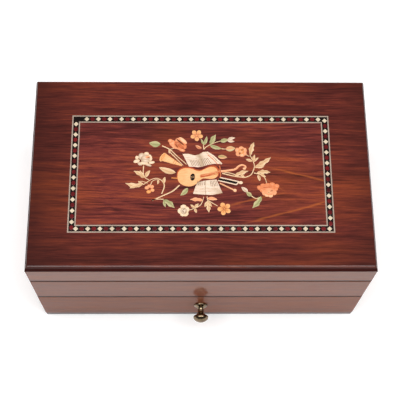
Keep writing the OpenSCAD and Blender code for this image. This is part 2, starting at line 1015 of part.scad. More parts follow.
module drawer_left_side() {
  color("#a5723f")
    drawer_side(-1);
}

module drawer_right_side() {
  color("#a5723f")
    drawer_side(1);
}

module drawer_back() {
  color("#a5723f")
    block(drawer_side_t - drawer_x, drawer_x - drawer_side_t, drawer_back_y - drawer_side_t, drawer_back_y,
          drawer_z, drawer_z + drawer_side_h);
}

module drawer_bottom() {
  color("#a5723f")
    block(drawer_side_t - drawer_x, drawer_x - drawer_side_t, drawer_front_y, drawer_back_y - drawer_side_t,
          drawer_z, drawer_z + 3);
}

module drawer_lining() {
  color("#5d1420")
    block(drawer_side_t - drawer_x + 0.2, drawer_x - drawer_side_t - 0.2, drawer_front_y + 0.2,
          drawer_back_y - drawer_side_t - 0.2, drawer_z + 3, drawer_z + 4.5);
}

// A flared foot, a waist and a mushroom head, turned about the Y axis, with a threaded stud behind.
module drawer_knob() {
  color("#8d8475")
    translate([knob_x, -half_d, (drawer_z + front_top) / 2])
      rotate([90, 0, 0]) {
        cylinder(h = 1.2, r = 5.8);
        translate([0, 0, 1.2])
          cylinder(h = 1.6, r1 = 5.2, r2 = 3);
        translate([0, 0, 2.8])
          cylinder(h = knob_out - 7.6, r = 2.7);
        translate([0, 0, knob_out - 7.2])
          cylinder(h = 2.2, r1 = 2.7, r2 = 5.6);
        translate([0, 0, knob_out - 5])
          cylinder(h = 2.6, r = 6.4);
        translate([0, 0, knob_out - 2.4])
          cylinder(h = 2.4, r1 = 6.2, r2 = 3.6);
        translate([0, 0, -front_t - 0.4])
          cylinder(h = front_t + 0.4, r = 1.7);
        translate([0, 0, -front_t - 2.2])
          cylinder(h = 2.2, r = 3.6);
      }
}

// ---- assembly ----

base_panel();
felt_feet();
lower_left_side();
lower_right_side();
lower_back();
tray_floor();
upper_front();
upper_back();
upper_left_side();
upper_right_side();
tray_lining();
tray_dividers();
ring_rolls();
movement_partition();
glass_ledges();
cover_glass();
key_plate();
hinge_case_leaves();
hinge_pins();
hinge_case_screws();
bedplate();
movement_screws();
comb();
cylinder_bearings();
barrel_bracket();
governor_frame();
lid_panel();
lid_front_rail();
lid_back_rail();
lid_left_rail();
lid_right_rail();
lid_veneer();
border_band();
border_stringing();
border_diamonds();
motif_flowers();
motif_leaves();
motif_violin();
motif_sheets();
lid_mirror();
lid_lining();
hinge_lid_leaves();
hinge_lid_screws();
drawer_front();
drawer_left_side();
drawer_right_side();
drawer_back();
drawer_bottom();
drawer_lining();
drawer_knob();
spring_barrel();
mainspring();
winding_arbor();
winding_key();
cylinder_drum();
cylinder_wheels();
governor_wheel();
governor_fly();
click();
stop_rod();
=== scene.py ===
import math
import random

import bmesh
import bpy
from mathutils import Matrix, Vector, noise


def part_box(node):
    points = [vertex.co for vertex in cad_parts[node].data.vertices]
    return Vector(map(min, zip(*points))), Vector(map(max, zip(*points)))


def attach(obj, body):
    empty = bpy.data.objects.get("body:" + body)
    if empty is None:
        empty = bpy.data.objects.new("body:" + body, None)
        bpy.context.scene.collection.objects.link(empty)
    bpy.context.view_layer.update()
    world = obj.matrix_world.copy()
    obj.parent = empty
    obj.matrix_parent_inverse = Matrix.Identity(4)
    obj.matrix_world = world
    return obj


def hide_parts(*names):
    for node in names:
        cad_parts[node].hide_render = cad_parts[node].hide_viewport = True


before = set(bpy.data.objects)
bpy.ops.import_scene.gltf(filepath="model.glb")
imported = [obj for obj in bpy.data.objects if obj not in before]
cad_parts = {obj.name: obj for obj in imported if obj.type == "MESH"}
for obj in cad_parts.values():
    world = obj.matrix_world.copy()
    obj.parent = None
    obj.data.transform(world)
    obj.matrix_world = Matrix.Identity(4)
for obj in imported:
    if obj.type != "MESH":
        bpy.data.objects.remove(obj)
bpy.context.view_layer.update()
mm = 0.001
print("frame loaded with", len(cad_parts), "parts")

# camera, floor and lights

camera = {"lens": 86.14, "sensor": 36, "near": 0.02, "far": 20, "tilt": 68.28, "turn": 2.576, "roll": 2.436,
          "eye": (-0.01355, -0.30307, 0.83169)}


def placeCamera(spec):
    tilt, turn, roll = (math.radians(spec[key]) for key in ("tilt", "turn", "roll"))
    ahead = Vector((math.sin(turn) * math.cos(tilt), math.cos(turn) * math.cos(tilt), -math.sin(tilt)))
    right = Vector((math.cos(turn), -math.sin(turn), 0))
    down = ahead.cross(right)
    side = right * math.cos(roll) - down * math.sin(roll)
    up = -(right * math.sin(roll) + down * math.cos(roll))
    axes = Matrix((side, up, -ahead)).transposed().to_4x4()
    made = bpy.data.objects.new("camera", bpy.data.cameras.new("camera"))
    made.data.lens = spec["lens"]
    made.data.sensor_width = spec["sensor"]
    made.data.clip_start = spec["near"]
    made.data.clip_end = spec["far"]
    made.matrix_world = Matrix.Translation(spec["eye"]) @ axes
    bpy.context.scene.collection.objects.link(made)
    bpy.context.scene.camera = made


placeCamera(camera)

studio = {
    "floorSize": 3.0, "worldColour": (1.0, 0.985, 0.97), "worldPower": 0.12,
    "lamps": {
        "overhead": {"at": (0.0, -0.2, 1.06), "aim": (0, -0.2, 0), "size": (1.5, 0.7), "power": 16.5},
        "leftFill": {"at": (-1.3, 0.3, 0.55), "aim": (0, 0, 0.05), "size": (0.7, 0.5), "power": 3.2,
                     "soft": True},
        "rightFill": {"at": (1.3, -0.1, 0.5), "aim": (0, 0, 0.05), "size": (0.7, 0.5), "power": 3.2,
                      "soft": True},
        "backFill": {"at": (0.2, 1.4, 0.45), "aim": (0, 0, 0.05), "size": (1.2, 0.5), "power": 4.0},
    },
}


def placeLamp(name, spec):
    data = bpy.data.lights.new(name, "AREA")
    data.shape = "RECTANGLE"
    data.size, data.size_y = spec["size"]
    data.energy = spec["power"]
    made = bpy.data.objects.new(name, data)
    made.location = spec["at"]
    made.rotation_euler = (Vector(spec["aim"]) - Vector(spec["at"])).to_track_quat("-Z", "Y").to_euler()
    made.visible_glossy = not spec.get("soft", False)  # a soft lamp leaves no streak in the lacquer
    bpy.context.scene.collection.objects.link(made)


for lampName, lampSpec in studio["lamps"].items():
    placeLamp(lampName, lampSpec)

world = bpy.data.worlds.new("studio")
world.use_nodes = True
world.node_tree.nodes["Background"].inputs["Color"].default_value = (*studio["worldColour"], 1)
world.node_tree.nodes["Background"].inputs["Strength"].default_value = studio["worldPower"]
bpy.context.scene.world = world
bpy.context.scene.view_settings.view_transform = "Standard"
print("camera and lamps placed")


# shader helpers

class Term:  # a socket that takes part in shader sums
    def __init__(self, finish, socket):
        self.finish, self.socket = finish, socket

    def __add__(self, other):
        return self.finish.sum("ADD", self, other)

    def __radd__(self, other):
        return self.finish.sum("ADD", other, self)

    def __sub__(self, other):
        return self.finish.sum("SUBTRACT", self, other)

    def __rsub__(self, other):
        return self.finish.sum("SUBTRACT", other, self)

    def __mul__(self, other):
        return self.finish.sum("MULTIPLY", self, other)

    def __rmul__(self, other):
        return self.finish.sum("MULTIPLY", other, self)

    def __abs__(self):
        return self.finish.sum("ABSOLUTE", self, 0.0)


class Finish:  # one material and the nodes that make it
    def __init__(self, name, **fixed):
        self.material = bpy.data.materials.new(name)
        self.material.use_nodes = True
        self.tree = self.material.node_tree
        self.shader = self.tree.nodes["Principled BSDF"]
        for key, value in fixed.items():
            self.shader.inputs[key.replace("_", " ")].default_value = value

    def node(self, kind, settings=None, values=None, out=0):
        made = self.tree.nodes.new("ShaderNode" + kind)
        for key, value in (settings or {}).items():
            if key == "stops":
                self.stops(made, value)
            else:
                setattr(made, key, value)
        for key, value in (values or {}).items():
            self.feed(made.inputs[key], value)
        return Term(self, made.outputs[out])

    def feed(self, socket, value):
        if isinstance(value, Term):
            self.tree.links.new(value.socket, socket)
        else:
            socket.default_value = value

    def stops(self, ramp, listed):
        elements = ramp.color_ramp.elements
        while len(elements) < len(listed):
            elements.new(0.5)
        for element, (place, colour) in zip(elements, listed):
            element.position = place
            element.color = (*colour, 1)

    def sum(self, operation, a, b):
        return self.node("Math", {"operation": operation}, {0: a, 1: b})

    def clip(self, value, low, high):
        return self.node("MapRange", {"clamp": True}, {"Value": value, "From Min": low, "From Max": high})

    def places(self, scale, turn=(0, 0, 0), warp=None):
        spot = self.node("TexCoord", out="Object")
        if warp is not None:
            spot = self.node("VectorMath", {"operation": "ADD"}, {0: spot, 1: warp})
        return self.node("Mapping", None, {"Vector": spot, "Scale": scale, "Rotation": turn})

    def cloud(self, spot, detail=4.0, rough=0.5, out=0):
        spec = {"Vector": spot, "Scale": 1.0, "Detail": detail, "Roughness": rough}
        return self.node("TexNoise", None, spec, out)

    def blend(self, share, a, b, mode="MIX"):
        return self.node("Mix", {"data_type": "RGBA", "blend_type": mode}, {0: share, 6: a, 7: b}, out=2)

    def set(self, **links):
        for key, value in links.items():
            self.feed(self.shader.inputs[key.replace("_", " ")], value)
        return self

    def bump(self, height, distance, strength=0.5):
        spec = {"Strength": strength, "Distance": distance, "Height": height}
        return self.set(Normal=self.node("Bump", None, spec))


def tone(text):  # "#rrggbb" to linear red, green and blue
    parts = [int(text[i:i + 2], 16) / 255 for i in (1, 3, 5)]
    return tuple(p / 12.92 if p <= 0.04045 else ((p + 0.055) / 1.055) ** 2.4 for p in parts)


def full(colour):
    return (*colour, 1)


# finishes

grain = {  # bands to pores give the size along and across the board's own grain, the detail and the roughness
    "bands": (0.35, 0.16, 3, 0.55), "streaks": (1, 1, 6, 0.68), "hairs": (3.2, 3.6, 4, 0.65),
    "pores": (14, 9, 2, 0.5), "drift": (7, 22), "patch": (8, 13, 8), "bandShare": 0.3, "streakShare": 0.52,
    "hairShare": 0.53, "darken": 0.175, "warmFrom": (0.46, 0.7), "warmStreak": (0.3, 0.62), "poreMix": 0.55,
    "poreFrom": (0.55, 0.72), "streakFrom": (0.2, 0.8), "streakRough": 0.16, "deep": 0.00003,
}
figureLine = {"sway": 0.004, "core": 0.0001, "edge": 0.0012, "fadeIn": 0.02, "fadeOut": 0.01, "share": 0.42}


def addFigure(finish, spec, grained, streaks, x, y):  # pale lines where the cathedral grain meets
    line = figureLine
    for (startX, startY), (endX, endY) in spec.get("figure", ()):
        slope = (endY - startY) / (endX - startX)
        gap = abs(y - (x - startX) * slope - startY + streaks * line["sway"] - line["sway"] / 2)
        share = (1 - finish.clip(gap, line["core"], line["edge"])) * line["share"]
        share = share * finish.clip(x, startX, startX + line["fadeIn"])
        share = share * finish.clip(x, endX, endX - line["fadeOut"])
        grained = finish.blend(share, grained, full(tone(spec["figureTone"])))
    return grained


def woodFinish(name, spec):
    finish = Finish(name, Coat_Roughness=spec["coatRough"], Coat_IOR=1.5, IOR=1.45,
                    Specular_IOR_Level=spec["shine"])
    scales = {"X": lambda a, b: (a, b, b), "Y": lambda a, b: (b, a, b)}[spec["grain"]]
    drift = finish.cloud(finish.places(scales(*grain["drift"])), 3, out=1)
    shift = finish.node("VectorMath", {"operation": "MULTIPLY"}, {0: drift, 1: scales(0.0, spec["wave"])})

    def layer(key):
        along, across, detail, rough = grain[key]
        size = scales(spec["along"] * along, spec["across"] * across)
        return finish.cloud(finish.places(size, warp=shift), detail, rough)

    bands, streaks, hairs, pores = (layer(key) for key in ("bands", "streaks", "hairs", "pores"))
    patch = finish.cloud(finish.places(grain["patch"]), 2, 0.5)
    share = bands * grain["bandShare"] + streaks * grain["streakShare"] + hairs * grain["hairShare"]
    stops = [(place, tone(code)) for place, code in spec["stops"]]
    body = finish.node("ValToRGB", {"stops": stops}, {0: share - grain["darken"]})
    warmth = finish.clip(patch, *grain["warmFrom"]) * finish.clip(streaks, *grain["warmStreak"])
    warmed = finish.blend(warmth * spec["glowShare"], body, full(tone(spec["glow"])))
    pitted = finish.clip(pores * grain["poreMix"] + hairs * (1 - grain["poreMix"]), *grain["poreFrom"])
    grained = finish.blend(pitted * spec["poreShare"], warmed, full(tone(spec["pore"])))
    coat = spec["coat"]
    here = finish.node("TexCoord", out="Object")
    place = {axis: finish.node("SeparateXYZ", None, {0: here}, out=axis) for axis in "XYZ"}
    grained = addFigure(finish, spec, grained, streaks, place["X"], place["Y"])
    for axis, start, end, most, code in spec.get("shades", ()):  # painted shade, darker towards an edge
        shade = finish.clip(place[axis], start, end) * most
        grained = finish.blend(shade, grained, full(tone(code)))
        # under a Z shade the coat is cut too, so the painted shade shows no reflection
        if axis == "Z":
            coat = coat - shade * spec["coatCutUnderShade"]
    finish.set(Base_Color=grained, Coat_Weight=coat)
    roughness = finish.clip(streaks, *grain["streakFrom"]) * grain["streakRough"] + spec["rough"]
    finish.set(Roughness=roughness)
    finish.bump(hairs * 0.5 + pores * 0.5, grain["deep"], spec["relief"])
    return finish.material


rosewood = {
    "grain": "X", "along": 15, "across": 260, "coat": 1.0, "coatRough": 0.05, "rough": 0.4, "relief": 0.12,
    "wave": 0.010, "glow": "#a04a22", "glowShare": 0.55, "pore": "#2a0f0c", "poreShare": 0.45,
    "shine": 0.02,
    "stops": [(0.34, "#361411"), (0.45, "#4b1d18"), (0.52, "#5b251e"), (0.60, "#6d2e20"), (0.74, "#8a3f22")],
}
# painted shade on the lid: near black along its rounded edge, with the coat cut there, and darker towards the
# front and the two sides
lidWood = woodFinish("rosewoodLid", {
    **rosewood, "coatCutUnderShade": 1.03,
    "shades": (("Z", 0.13195, 0.1312, 0.96, "#380402"), ("Y", -0.052, -0.078, 0.34, "#33150f"),
               ("X", -0.095, -0.13, 0.62, "#2f120e"), ("X", 0.112, 0.134, 0.42, "#331610")),
})
fieldWood = woodFinish("rosewoodField", {
    **rosewood, "glow": "#a04c1c", "glowShare": 0.6, "wave": 0.013, "figureTone": "#b8622c",
    "figure": (((0.03, -0.0458), (0.105, -0.0245)), ((0.048, 0.005), (0.105, -0.0105)),
               ((0.01, -0.0322), (0.068, -0.0182)), ((0.04, 0.001), (0.067, -0.018))),
    "stops": [(0.36, "#3a1815"), (0.45, "#52211e"), (0.52, "#662b26"), (0.60, "#7f3929"), (0.72, "#9c4b2b")],
})
boardStops = [(0.30, "#622c18"), (0.44, "#72381d"), (0.54, "#7b3f21"), (0.66, "#854725"), (0.8, "#914e28")]
board = {**rosewood, "coat": 0.42, "coatRough": 0.08, "across": 200, "stops": boardStops, "glowShare": 0.15,
         "poreShare": 0.18, "shine": 0.08, "coatCutUnderShade": 0.42}
# painted shade along the bottom of the lid rails and of the upper tier, where the gaps below them fall into
# shade; the coat is cut there too
gapShade = "#1f0a06"
railWood = woodFinish("rosewoodRail", {**board, "shades": (("Z", 0.1042, 0.1026, 0.96, gapShade),)})
upperWood = woodFinish("rosewoodUpper", {
    **board, "coat": 0.34, "coatCutUnderShade": 0.34, "shades": (("Z", 0.0602, 0.0582, 0.96, gapShade),)})
frontWood = woodFinish("rosewoodFront", {**board, "coat": 0.21})
sideWood = woodFinish("rosewoodSide", {**board, "grain": "Y"})
darkStops = [(0.30, "#2c1511"), (0.45, "#43211a"), (0.6, "#55291f"), (0.74, "#653226")]
darkBoard = {**board, "coat": 0.6, "coatRough": 0.14, "glowShare": 0.1, "stops": darkStops}
baseWood = woodFinish("baseWood", darkBoard)
baseWoodSide = woodFinish("baseWoodSide", {**darkBoard, "grain": "Y"})
paleWood = {
    "grain": "X", "along": 10, "across": 160, "coat": 0.15, "coatRough": 0.3, "rough": 0.5, "relief": 0.2,
    "wave": 0.012, "glow": "#b98448", "glowShare": 0.3, "pore": "#6d4726", "poreShare": 0.35, "shine": 0.3,
    "stops": [(0.30, "#8d6238"), (0.45, "#a97b4b"), (0.6, "#bd905d"), (0.74, "#cda271")],
}
drawerWood = woodFinish("drawerWood", paleWood)
drawerWoodSide = woodFinish("drawerWoodSide", {**paleWood, "grain": "Y"})


pile = {"nap": (900, 900, 900), "stroke": (26, 40, 40), "from": (0.35, 0.75), "rough": 0.75, "uneven": 0.2,
        "deep": 0.0003, "relief": 0.6}


def velvetFinish(name, deep, bright):
    finish = Finish(name, Sheen_Weight=0.9, Sheen_Roughness=0.35, Specular_IOR_Level=0.15,
                    Sheen_Tint=full(tone(bright)))
    nap = finish.cloud(finish.places(pile["nap"]), 3, 0.6)
    stroke = finish.cloud(finish.places(pile["stroke"]), 4, 0.55)
    share = finish.clip(nap * 0.45 + stroke * 0.6, *pile["from"])
    finish.set(Base_Color=finish.blend(share, full(tone(deep)), full(tone(bright))))
    finish.set(Roughness=stroke * pile["uneven"] + pile["rough"])
    finish.bump(nap * 0.7 + stroke * 0.3, pile["deep"], pile["relief"])
    return finish.material


velvet = velvetFinish("wineVelvet", "#3c0b16", "#7a2233")
felt = velvetFinish("blackFelt", "#101010", "#2a2a28")


tarnish = {"spots": (240, 240, 240), "patches": (60, 60, 60), "from": (0.45, 0.62), "rough": 0.12,
           "deep": 0.00003}


def metalFinish(name, spec):
    finish = Finish(name, Metallic=1.0)
    smear = finish.cloud(finish.places(spec["brush"]), 4, 0.6)
    spots = finish.cloud(finish.places(tarnish["spots"]), 3, 0.6)
    patches = finish.cloud(finish.places(tarnish["patches"]), 2, 0.5)
    age = finish.clip(spots * 0.5 + patches * 0.5, *tarnish["from"])
    bright, dull = full(tone(spec["bright"])), full(tone(spec["dull"]))
    finish.set(Base_Color=finish.blend(age * spec["age"], bright, dull))
    finish.set(Roughness=smear * spec["spread"] + age * tarnish["rough"] + spec["rough"])
    finish.bump(smear * 0.6 + spots * 0.4, tarnish["deep"], spec["relief"])
    return finish.material


brass = metalFinish("polishedBrass", {
    "brush": (500, 60, 500), "bright": "#cfb27c", "dull": "#8b7047", "age": 0.35, "spread": 0.14,
    "rough": 0.12, "relief": 0.15})
steel = metalFinish("brushedSteel", {
    "brush": (900, 40, 900), "bright": "#c9cbd0", "dull": "#84878d", "age": 0.3, "spread": 0.2,
    "rough": 0.16, "relief": 0.2})
bluedSteel = metalFinish("bluedSteel", {
    "brush": (700, 700, 90), "bright": "#2f4f8f", "dull": "#1b2747", "age": 0.5, "spread": 0.16,
    "rough": 0.18, "relief": 0.15})
antique = metalFinish("antiqueNickel", {
    "brush": (300, 300, 700), "bright": "#84735c", "dull": "#33271a", "age": 0.8, "spread": 0.14,
    "rough": 0.1, "relief": 0.3})
bronzePaint = metalFinish("bronzePaint", {
    "brush": (200, 200, 200), "bright": "#ae9058", "dull": "#84693c", "age": 0.6, "spread": 0.16,
    "rough": 0.36, "relief": 0.6})


lacquered = {"Coat_Weight": 0.8, "Coat_Roughness": 0.05, "Coat_IOR": 1.5, "Specular_IOR_Level": 0.08}
inlaySkin = {"cloudy": (70, 90, 90), "rough": 0.3, "uneven": 0.15, "deep": 0.00002, "relief": 0.15}


def polishInlay(finish, fine):  # the same thin polish over every inlaid piece
    finish.set(Roughness=fine * inlaySkin["uneven"] + inlaySkin["rough"])
    finish.bump(fine, inlaySkin["deep"], inlaySkin["relief"])
    return finish.material


def inlayFinish(name, low, high, size=(40, 900, 900)):
    finish = Finish(name, **lacquered)
    fleck = finish.cloud(finish.places(size), 4, 0.6)
    cloudy = finish.cloud(finish.places(inlaySkin["cloudy"]), 2, 0.5)
    share = finish.clip(fleck * 0.6 + cloudy * 0.5, 0.35, 0.75)
    finish.set(Base_Color=finish.blend(share, full(tone(low)), full(tone(high))))
    return polishInlay(finish, fleck)


ivory = inlayFinish("ivoryString", "#8f7f72", "#ae9d8e")
pearl = inlayFinish("pearlDiamond", "#bcaa90", "#d8c7ad", (180, 260, 260))
ebony = inlayFinish("ebonyBand", "#0b0403", "#1c0a08")
cherry = inlayFinish("cherryPatch", "#1c0708", "#7a171b", (75, 75, 75))


def marquetryFinish():  # each shape's own tint, broken up by fine grain and lacquered
    finish = Finish("marquetry", **lacquered)
    tint = finish.node("VertexColor", {"layer_name": "tint"})
    fine = finish.cloud(finish.places((260, 700, 700), (0, 0, 0.5)), 4, 0.6)
    shade = finish.clip(fine, 0.3, 0.75)
    finish.set(Base_Color=finish.blend(0.45 - shade * 0.45, tint, full(tone("#d8b48e")), "MULTIPLY"))
    return polishInlay(finish, fine)


marquetry = marquetryFinish()


def glassFinish():
    finish = Finish("coverGlass", Transmission_Weight=1.0, IOR=1.5)
    haze = finish.cloud(finish.places((30, 30, 30)), 3, 0.5)
    finish.set(Base_Color=finish.blend(haze * 0.3, full((0.97, 0.99, 0.98)), full((0.9, 0.95, 0.93))))
    finish.set(Roughness=finish.clip(haze, 0.4, 0.8) * 0.02 + 0.005)
    return finish.material


def mirrorFinish():
    finish = Finish("lidMirror", Metallic=1.0)
    haze = finish.cloud(finish.places((18, 18, 18)), 4, 0.6)
    finish.set(Base_Color=finish.blend(haze, full((0.88, 0.9, 0.9)), full((0.95, 0.96, 0.96))))
    finish.set(Roughness=finish.clip(haze, 0.5, 0.8) * 0.05 + 0.015)
    return finish.material


glass = glassFinish()
mirrorGlass = mirrorFinish()
floorFinish = Finish("paleFloor", Roughness=0.6, Specular_IOR_Level=0.2, Emission_Strength=0.14)
floorGrain = floorFinish.cloud(floorFinish.places((3, 3, 3)), 3, 0.5)
floorFinish.set(Base_Color=floorFinish.blend(floorGrain, full((0.96, 0.96, 0.96)), full((0.98, 0.98, 0.98))))
print("finishes made")

# mesh helpers

def addMesh(name, build, finish, smooth=None):
    data = bpy.data.meshes.new(name)
    build.normal_update()
    build.to_mesh(data)
    build.free()
    made = bpy.data.objects.new(name, data)
    bpy.context.scene.collection.objects.link(made)
    data.materials.append(finish)
    if smooth is not None:
        for face in data.polygons:
            face.use_smooth = True
        data.set_sharp_from_angle(angle=math.radians(smooth))
    return made


def settle(piece, body, slot, *nodes):  # ride a body and stand for CAD nodes
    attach(piece, body)
    if nodes:
        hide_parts(*nodes)
    return piece


def addFloor():
    build = bmesh.new()
    bmesh.ops.create_grid(build, x_segments=8, y_segments=8, size=studio["floorSize"] / 2)
    addMesh("floor", build, floorFinish.material)


addFloor()


def roundedBlock(build, low, high, radius, steps=3):
    made = bmesh.ops.create_cube(build, size=1)
    centre, size = (Vector(low) + Vector(high)) / 2, Vector(high) - Vector(low)
    for vert in made["verts"]:
        vert.co = Vector(a * b for a, b in zip(vert.co, size)) + centre
    edges = {edge for vert in made["verts"] for edge in vert.link_edges}
    bmesh.ops.bevel(build, geom=list(edges), offset=radius, segments=steps, profile=0.5, affect="EDGES")


def lathe(build, profile, origin, axis, steps=48):
    # profile is (radius, distance along the axis); rows with radius 0 close to one point
    axis = Vector(axis).normalized()
    side = axis.orthogonal().normalized()
    other = axis.cross(side)
    rows = []
    for radius, along in profile:
        base = Vector(origin) + axis * along
        if radius <= 0:
            rows.append([build.verts.new(base)])
            continue
        row = []
        for i in range(steps):
            turn = 2 * math.pi * i / steps
            row.append(build.verts.new(base + (side * math.cos(turn) + other * math.sin(turn)) * radius))
        rows.append(row)
    for a, b in zip(rows, rows[1:]):
        for i in range(steps):
            ring = [a[i % len(a)], a[(i + 1) % len(a)], b[(i + 1) % len(b)], b[i % len(b)]]
            build.faces.new(list(dict.fromkeys(ring)))


def spline(points, steps=6):  # a smooth run through given points
    ends = [points[0], *points, points[-1]]
    run = []
    for i in range(1, len(ends) - 2):
        a, b, c, d = (Vector(p) for p in ends[i - 1:i + 3])
        for k in range(steps):
            t = k / steps
            run.append((b * 2 + (c - a) * t + (a * 2 - b * 5 + c * 4 - d) * t * t
                        + (b * 3 - a - c * 3 + d) * t ** 3) / 2)
    run.append(Vector(points[-1]))
    return run


def dress(finish, *names):
    for name in names:
        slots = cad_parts[name].data.materials
        slots.clear()
        slots.append(finish)


# case, lid and drawer boards

dress(railWood, "lid_front_rail", "lid_back_rail")
dress(upperWood, "upper_front", "upper_back")
dress(frontWood, "lower_back", "drawer_front")
dress(sideWood, "upper_left_side", "upper_right_side", "lower_left_side", "lower_right_side", "lid_left_rail",
      "lid_right_rail", "movement_partition")
dress(lidWood, "lid_panel")
dress(baseWood, "base_panel")
dress(baseWoodSide, "glass_ledges")
dress(drawerWood, "tray_floor", "drawer_back", "drawer_bottom")
dress(drawerWoodSide, "drawer_left_side", "drawer_right_side")
dress(ivory, "border_stringing")
dress(pearl, "border_diamonds")
dress(ebony, "border_band")
dress(brass, "key_plate", "hinge_case_leaves", "hinge_lid_leaves", "hinge_pins", "hinge_case_screws",
      "hinge_lid_screws", "cylinder_bearings", "barrel_bracket", "governor_frame", "spring_barrel",
      "cylinder_wheels")
dress(steel, "comb", "mainspring", "winding_arbor", "governor_wheel", "click", "stop_rod")
dress(bluedSteel, "movement_screws")
dress(bronzePaint, "bedplate")
dress(brass, "winding_key", "cylinder_drum")
dress(steel, "governor_fly")
dress(glass, "cover_glass")
dress(mirrorGlass, "lid_mirror")


def easeEdges(width, *names):  # takes the bare corner off a board, as sanding does
    for name in names:
        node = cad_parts[name]
        weld = node.modifiers.new("weld", "WELD")
        weld.merge_threshold = 0.00002
        bevel = node.modifiers.new("ease", "BEVEL")
        bevel.width = width
        bevel.segments = 2
        bevel.angle_limit = math.radians(50)


easeEdges(0.0009, "upper_front", "upper_left_side", "upper_right_side", "lower_left_side", "lower_right_side",
          "drawer_front", "lid_front_rail")
easeEdges(0.0005, "base_panel", "key_plate", "winding_key")
print("boards finished")


# inlaid field and border

veneerLow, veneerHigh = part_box("lid_veneer")
bandLow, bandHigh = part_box("border_band")
topZ = veneerHigh.z


field = {"sunk": 0.00001, "edge": 0.00005}


def addField():
    build = bmesh.new()
    roundedBlock(build, veneerLow, (veneerHigh.x, veneerHigh.y, topZ - field["sunk"]), field["edge"], 1)
    settle(addMesh("field_veneer", build, fieldWood, 40), "lid", "field_veneer", "lid_veneer")


addField()


fieldCentre = (veneerLow + veneerHigh) / 2
motifCentre = fieldCentre + Vector((0.1, 0.65, 0)) * mm  # the motif sits on the lid's own centre


class Inlay:  # flat shapes with a tint for each corner, gathered into one mesh
    deep = 0.0003
    lift = 0.000012  # from one level to the next
    step = 0.000003  # from one shape to the next, so that no two faces share a plane

    def __init__(self):
        self.build = bmesh.new()
        self.layer = self.build.verts.layers.float_color.new("tint")
        self.count = 0

    def spot(self, point, level, tint, drop=0.0):
        x, y = motifCentre.x + point[0] * mm, motifCentre.y + point[1] * mm
        high = topZ + level * self.lift + self.count * self.step
        vert = self.build.verts.new((x, y, high - drop))
        vert[self.layer] = full(tint)
        return vert

    def shell(self, tops, lows, rim):
        self.count += 1
        for faces, flip in ((tops, False), (lows, True)):
            for face in faces:
                self.build.faces.new(face[::-1] if flip else face)
        for (a, b), (c, d) in rim:
            self.build.faces.new((a, c, d, b))

    def grid(self, rows, tints, level):
        top = [[self.spot(p, level, c) for p, c in zip(r, t)] for r, t in zip(rows, tints)]
        low = [[self.spot(p, level, c, self.deep) for p, c in zip(r, t)] for r, t in zip(rows, tints)]
        high, wide = len(rows), len(rows[0])
        cells = [(i, k) for i in range(high - 1) for k in range(wide - 1)]
        quad = lambda g, i, k: (g[i][k], g[i][k + 1], g[i + 1][k + 1], g[i + 1][k])
        edge = [(0, k) for k in range(wide)] + [(i, wide - 1) for i in range(1, high)]
        edge += [(high - 1, k) for k in range(wide - 2, -1, -1)] + [(i, 0) for i in range(high - 2, 0, -1)]
        rim = [((top[a[0]][a[1]], top[b[0]][b[1]]), (low[a[0]][a[1]], low[b[0]][b[1]]))
               for a, b in zip(edge, edge[1:] + edge[:1])]
        self.shell([quad(top, *c) for c in cells], [quad(low, *c) for c in cells], rim)

    def blob(self, outline, level, middle, edge, rings=(0.55, 1.0)):
        centre = sum((Vector(p) for p in outline), Vector((0, 0))) / len(outline)
        count = len(outline)
        sides = []
        for drop in (0, self.deep):
            hub = self.spot(centre, level, middle, drop)
            loops = []
            for share in rings:
                colour = mixTone(middle, edge, share)
                loops.append([self.spot(centre.lerp(Vector(p), share), level, colour, drop) for p in outline])
            faces = [(hub, loops[0][i], loops[0][(i + 1) % count]) for i in range(count)]
            for a, b in zip(loops, loops[1:]):
                faces += [(a[i], b[i], b[(i + 1) % count], a[(i + 1) % count]) for i in range(count)]
            sides.append((faces, loops[-1]))
        (tops, rimTop), (lows, rimLow) = sides
        rim = [((rimTop[i], rimTop[(i + 1) % count]), (rimLow[i], rimLow[(i + 1) % count]))
               for i in range(count)]
        self.shell(tops, lows, rim)

    def finish(self, name, slot, *nodes):
        bmesh.ops.recalc_face_normals(self.build, faces=self.build.faces[:])
        return settle(addMesh(name, self.build, marquetry), "lid", slot, *nodes)


def mixTone(a, b, share):
    return tuple(x + (y - x) * share for x, y in zip(a, b))


aged = (0.95, 0.86, 0.85)  # years of lacquer darken and warm the veneers
veneers = {
    "cream": "#ecdab4", "creamDeep": "#c9a678", "green": "#c9cb9d", "greenDeep": "#8a9663",
    "peach": "#f2bd92", "coral": "#e6a277", "coralDeep": "#b45f3c", "orange": "#dd885a",
    "yellow": "#f3c184", "amber": "#dd9653", "white": "#f2e7d3", "grey": "#bfae93", "maple": "#eebd84",
    "mapleLight": "#f5cf9d", "rim": "#b95a33", "black": "#15100d", "paper": "#eee3d0", "ink": "#93826c",
    "brown": "#7c4a2f", "wine": "#5a211c"}
palette = {name: tuple(a * b for a, b in zip(tone(code), aged)) for name, code in veneers.items()}

leaf = {"steps": 12, "swell": 0.85, "full": 0.43, "tip": 0.06, "lobe": 0.22,
        "across": (-1, -0.5, -0.06, 0.06, 0.5, 1)}


def leafShape(inlay, base, tip, width, bend=0.0, tones=("cream", "creamDeep"), level=2, lobes=0):
    base, tip = Vector(base), Vector(tip)
    run = tip - base
    side = Vector((-run.y, run.x)).normalized()
    rows, tints = [], []
    light, dark = palette[tones[0]], palette[tones[1]]
    for i in range(leaf["steps"] + 1):
        t = i / leaf["steps"]
        centre = base + run * t + side * bend * math.sin(math.pi * t)
        swell = math.sin(math.pi * t ** leaf["swell"]) ** leaf["swell"] if 0 < t < 1 else 0
        half = width * leaf["full"] * swell + leaf["tip"]
        half *= 1 + leaf["lobe"] * math.sin(lobes * 2 * math.pi * t)
        rows.append([centre + side * half * k for k in leaf["across"]])
        shadow = 0.25 + 0.55 * (1 - t)  # darkest at the base
        shades = (0.05, shadow * 0.4, 0.55, 0.95, shadow, shadow * 0.9)
        tints.append([mixTone(light, dark, share) for share in shades])
    inlay.grid(rows, tints, level)


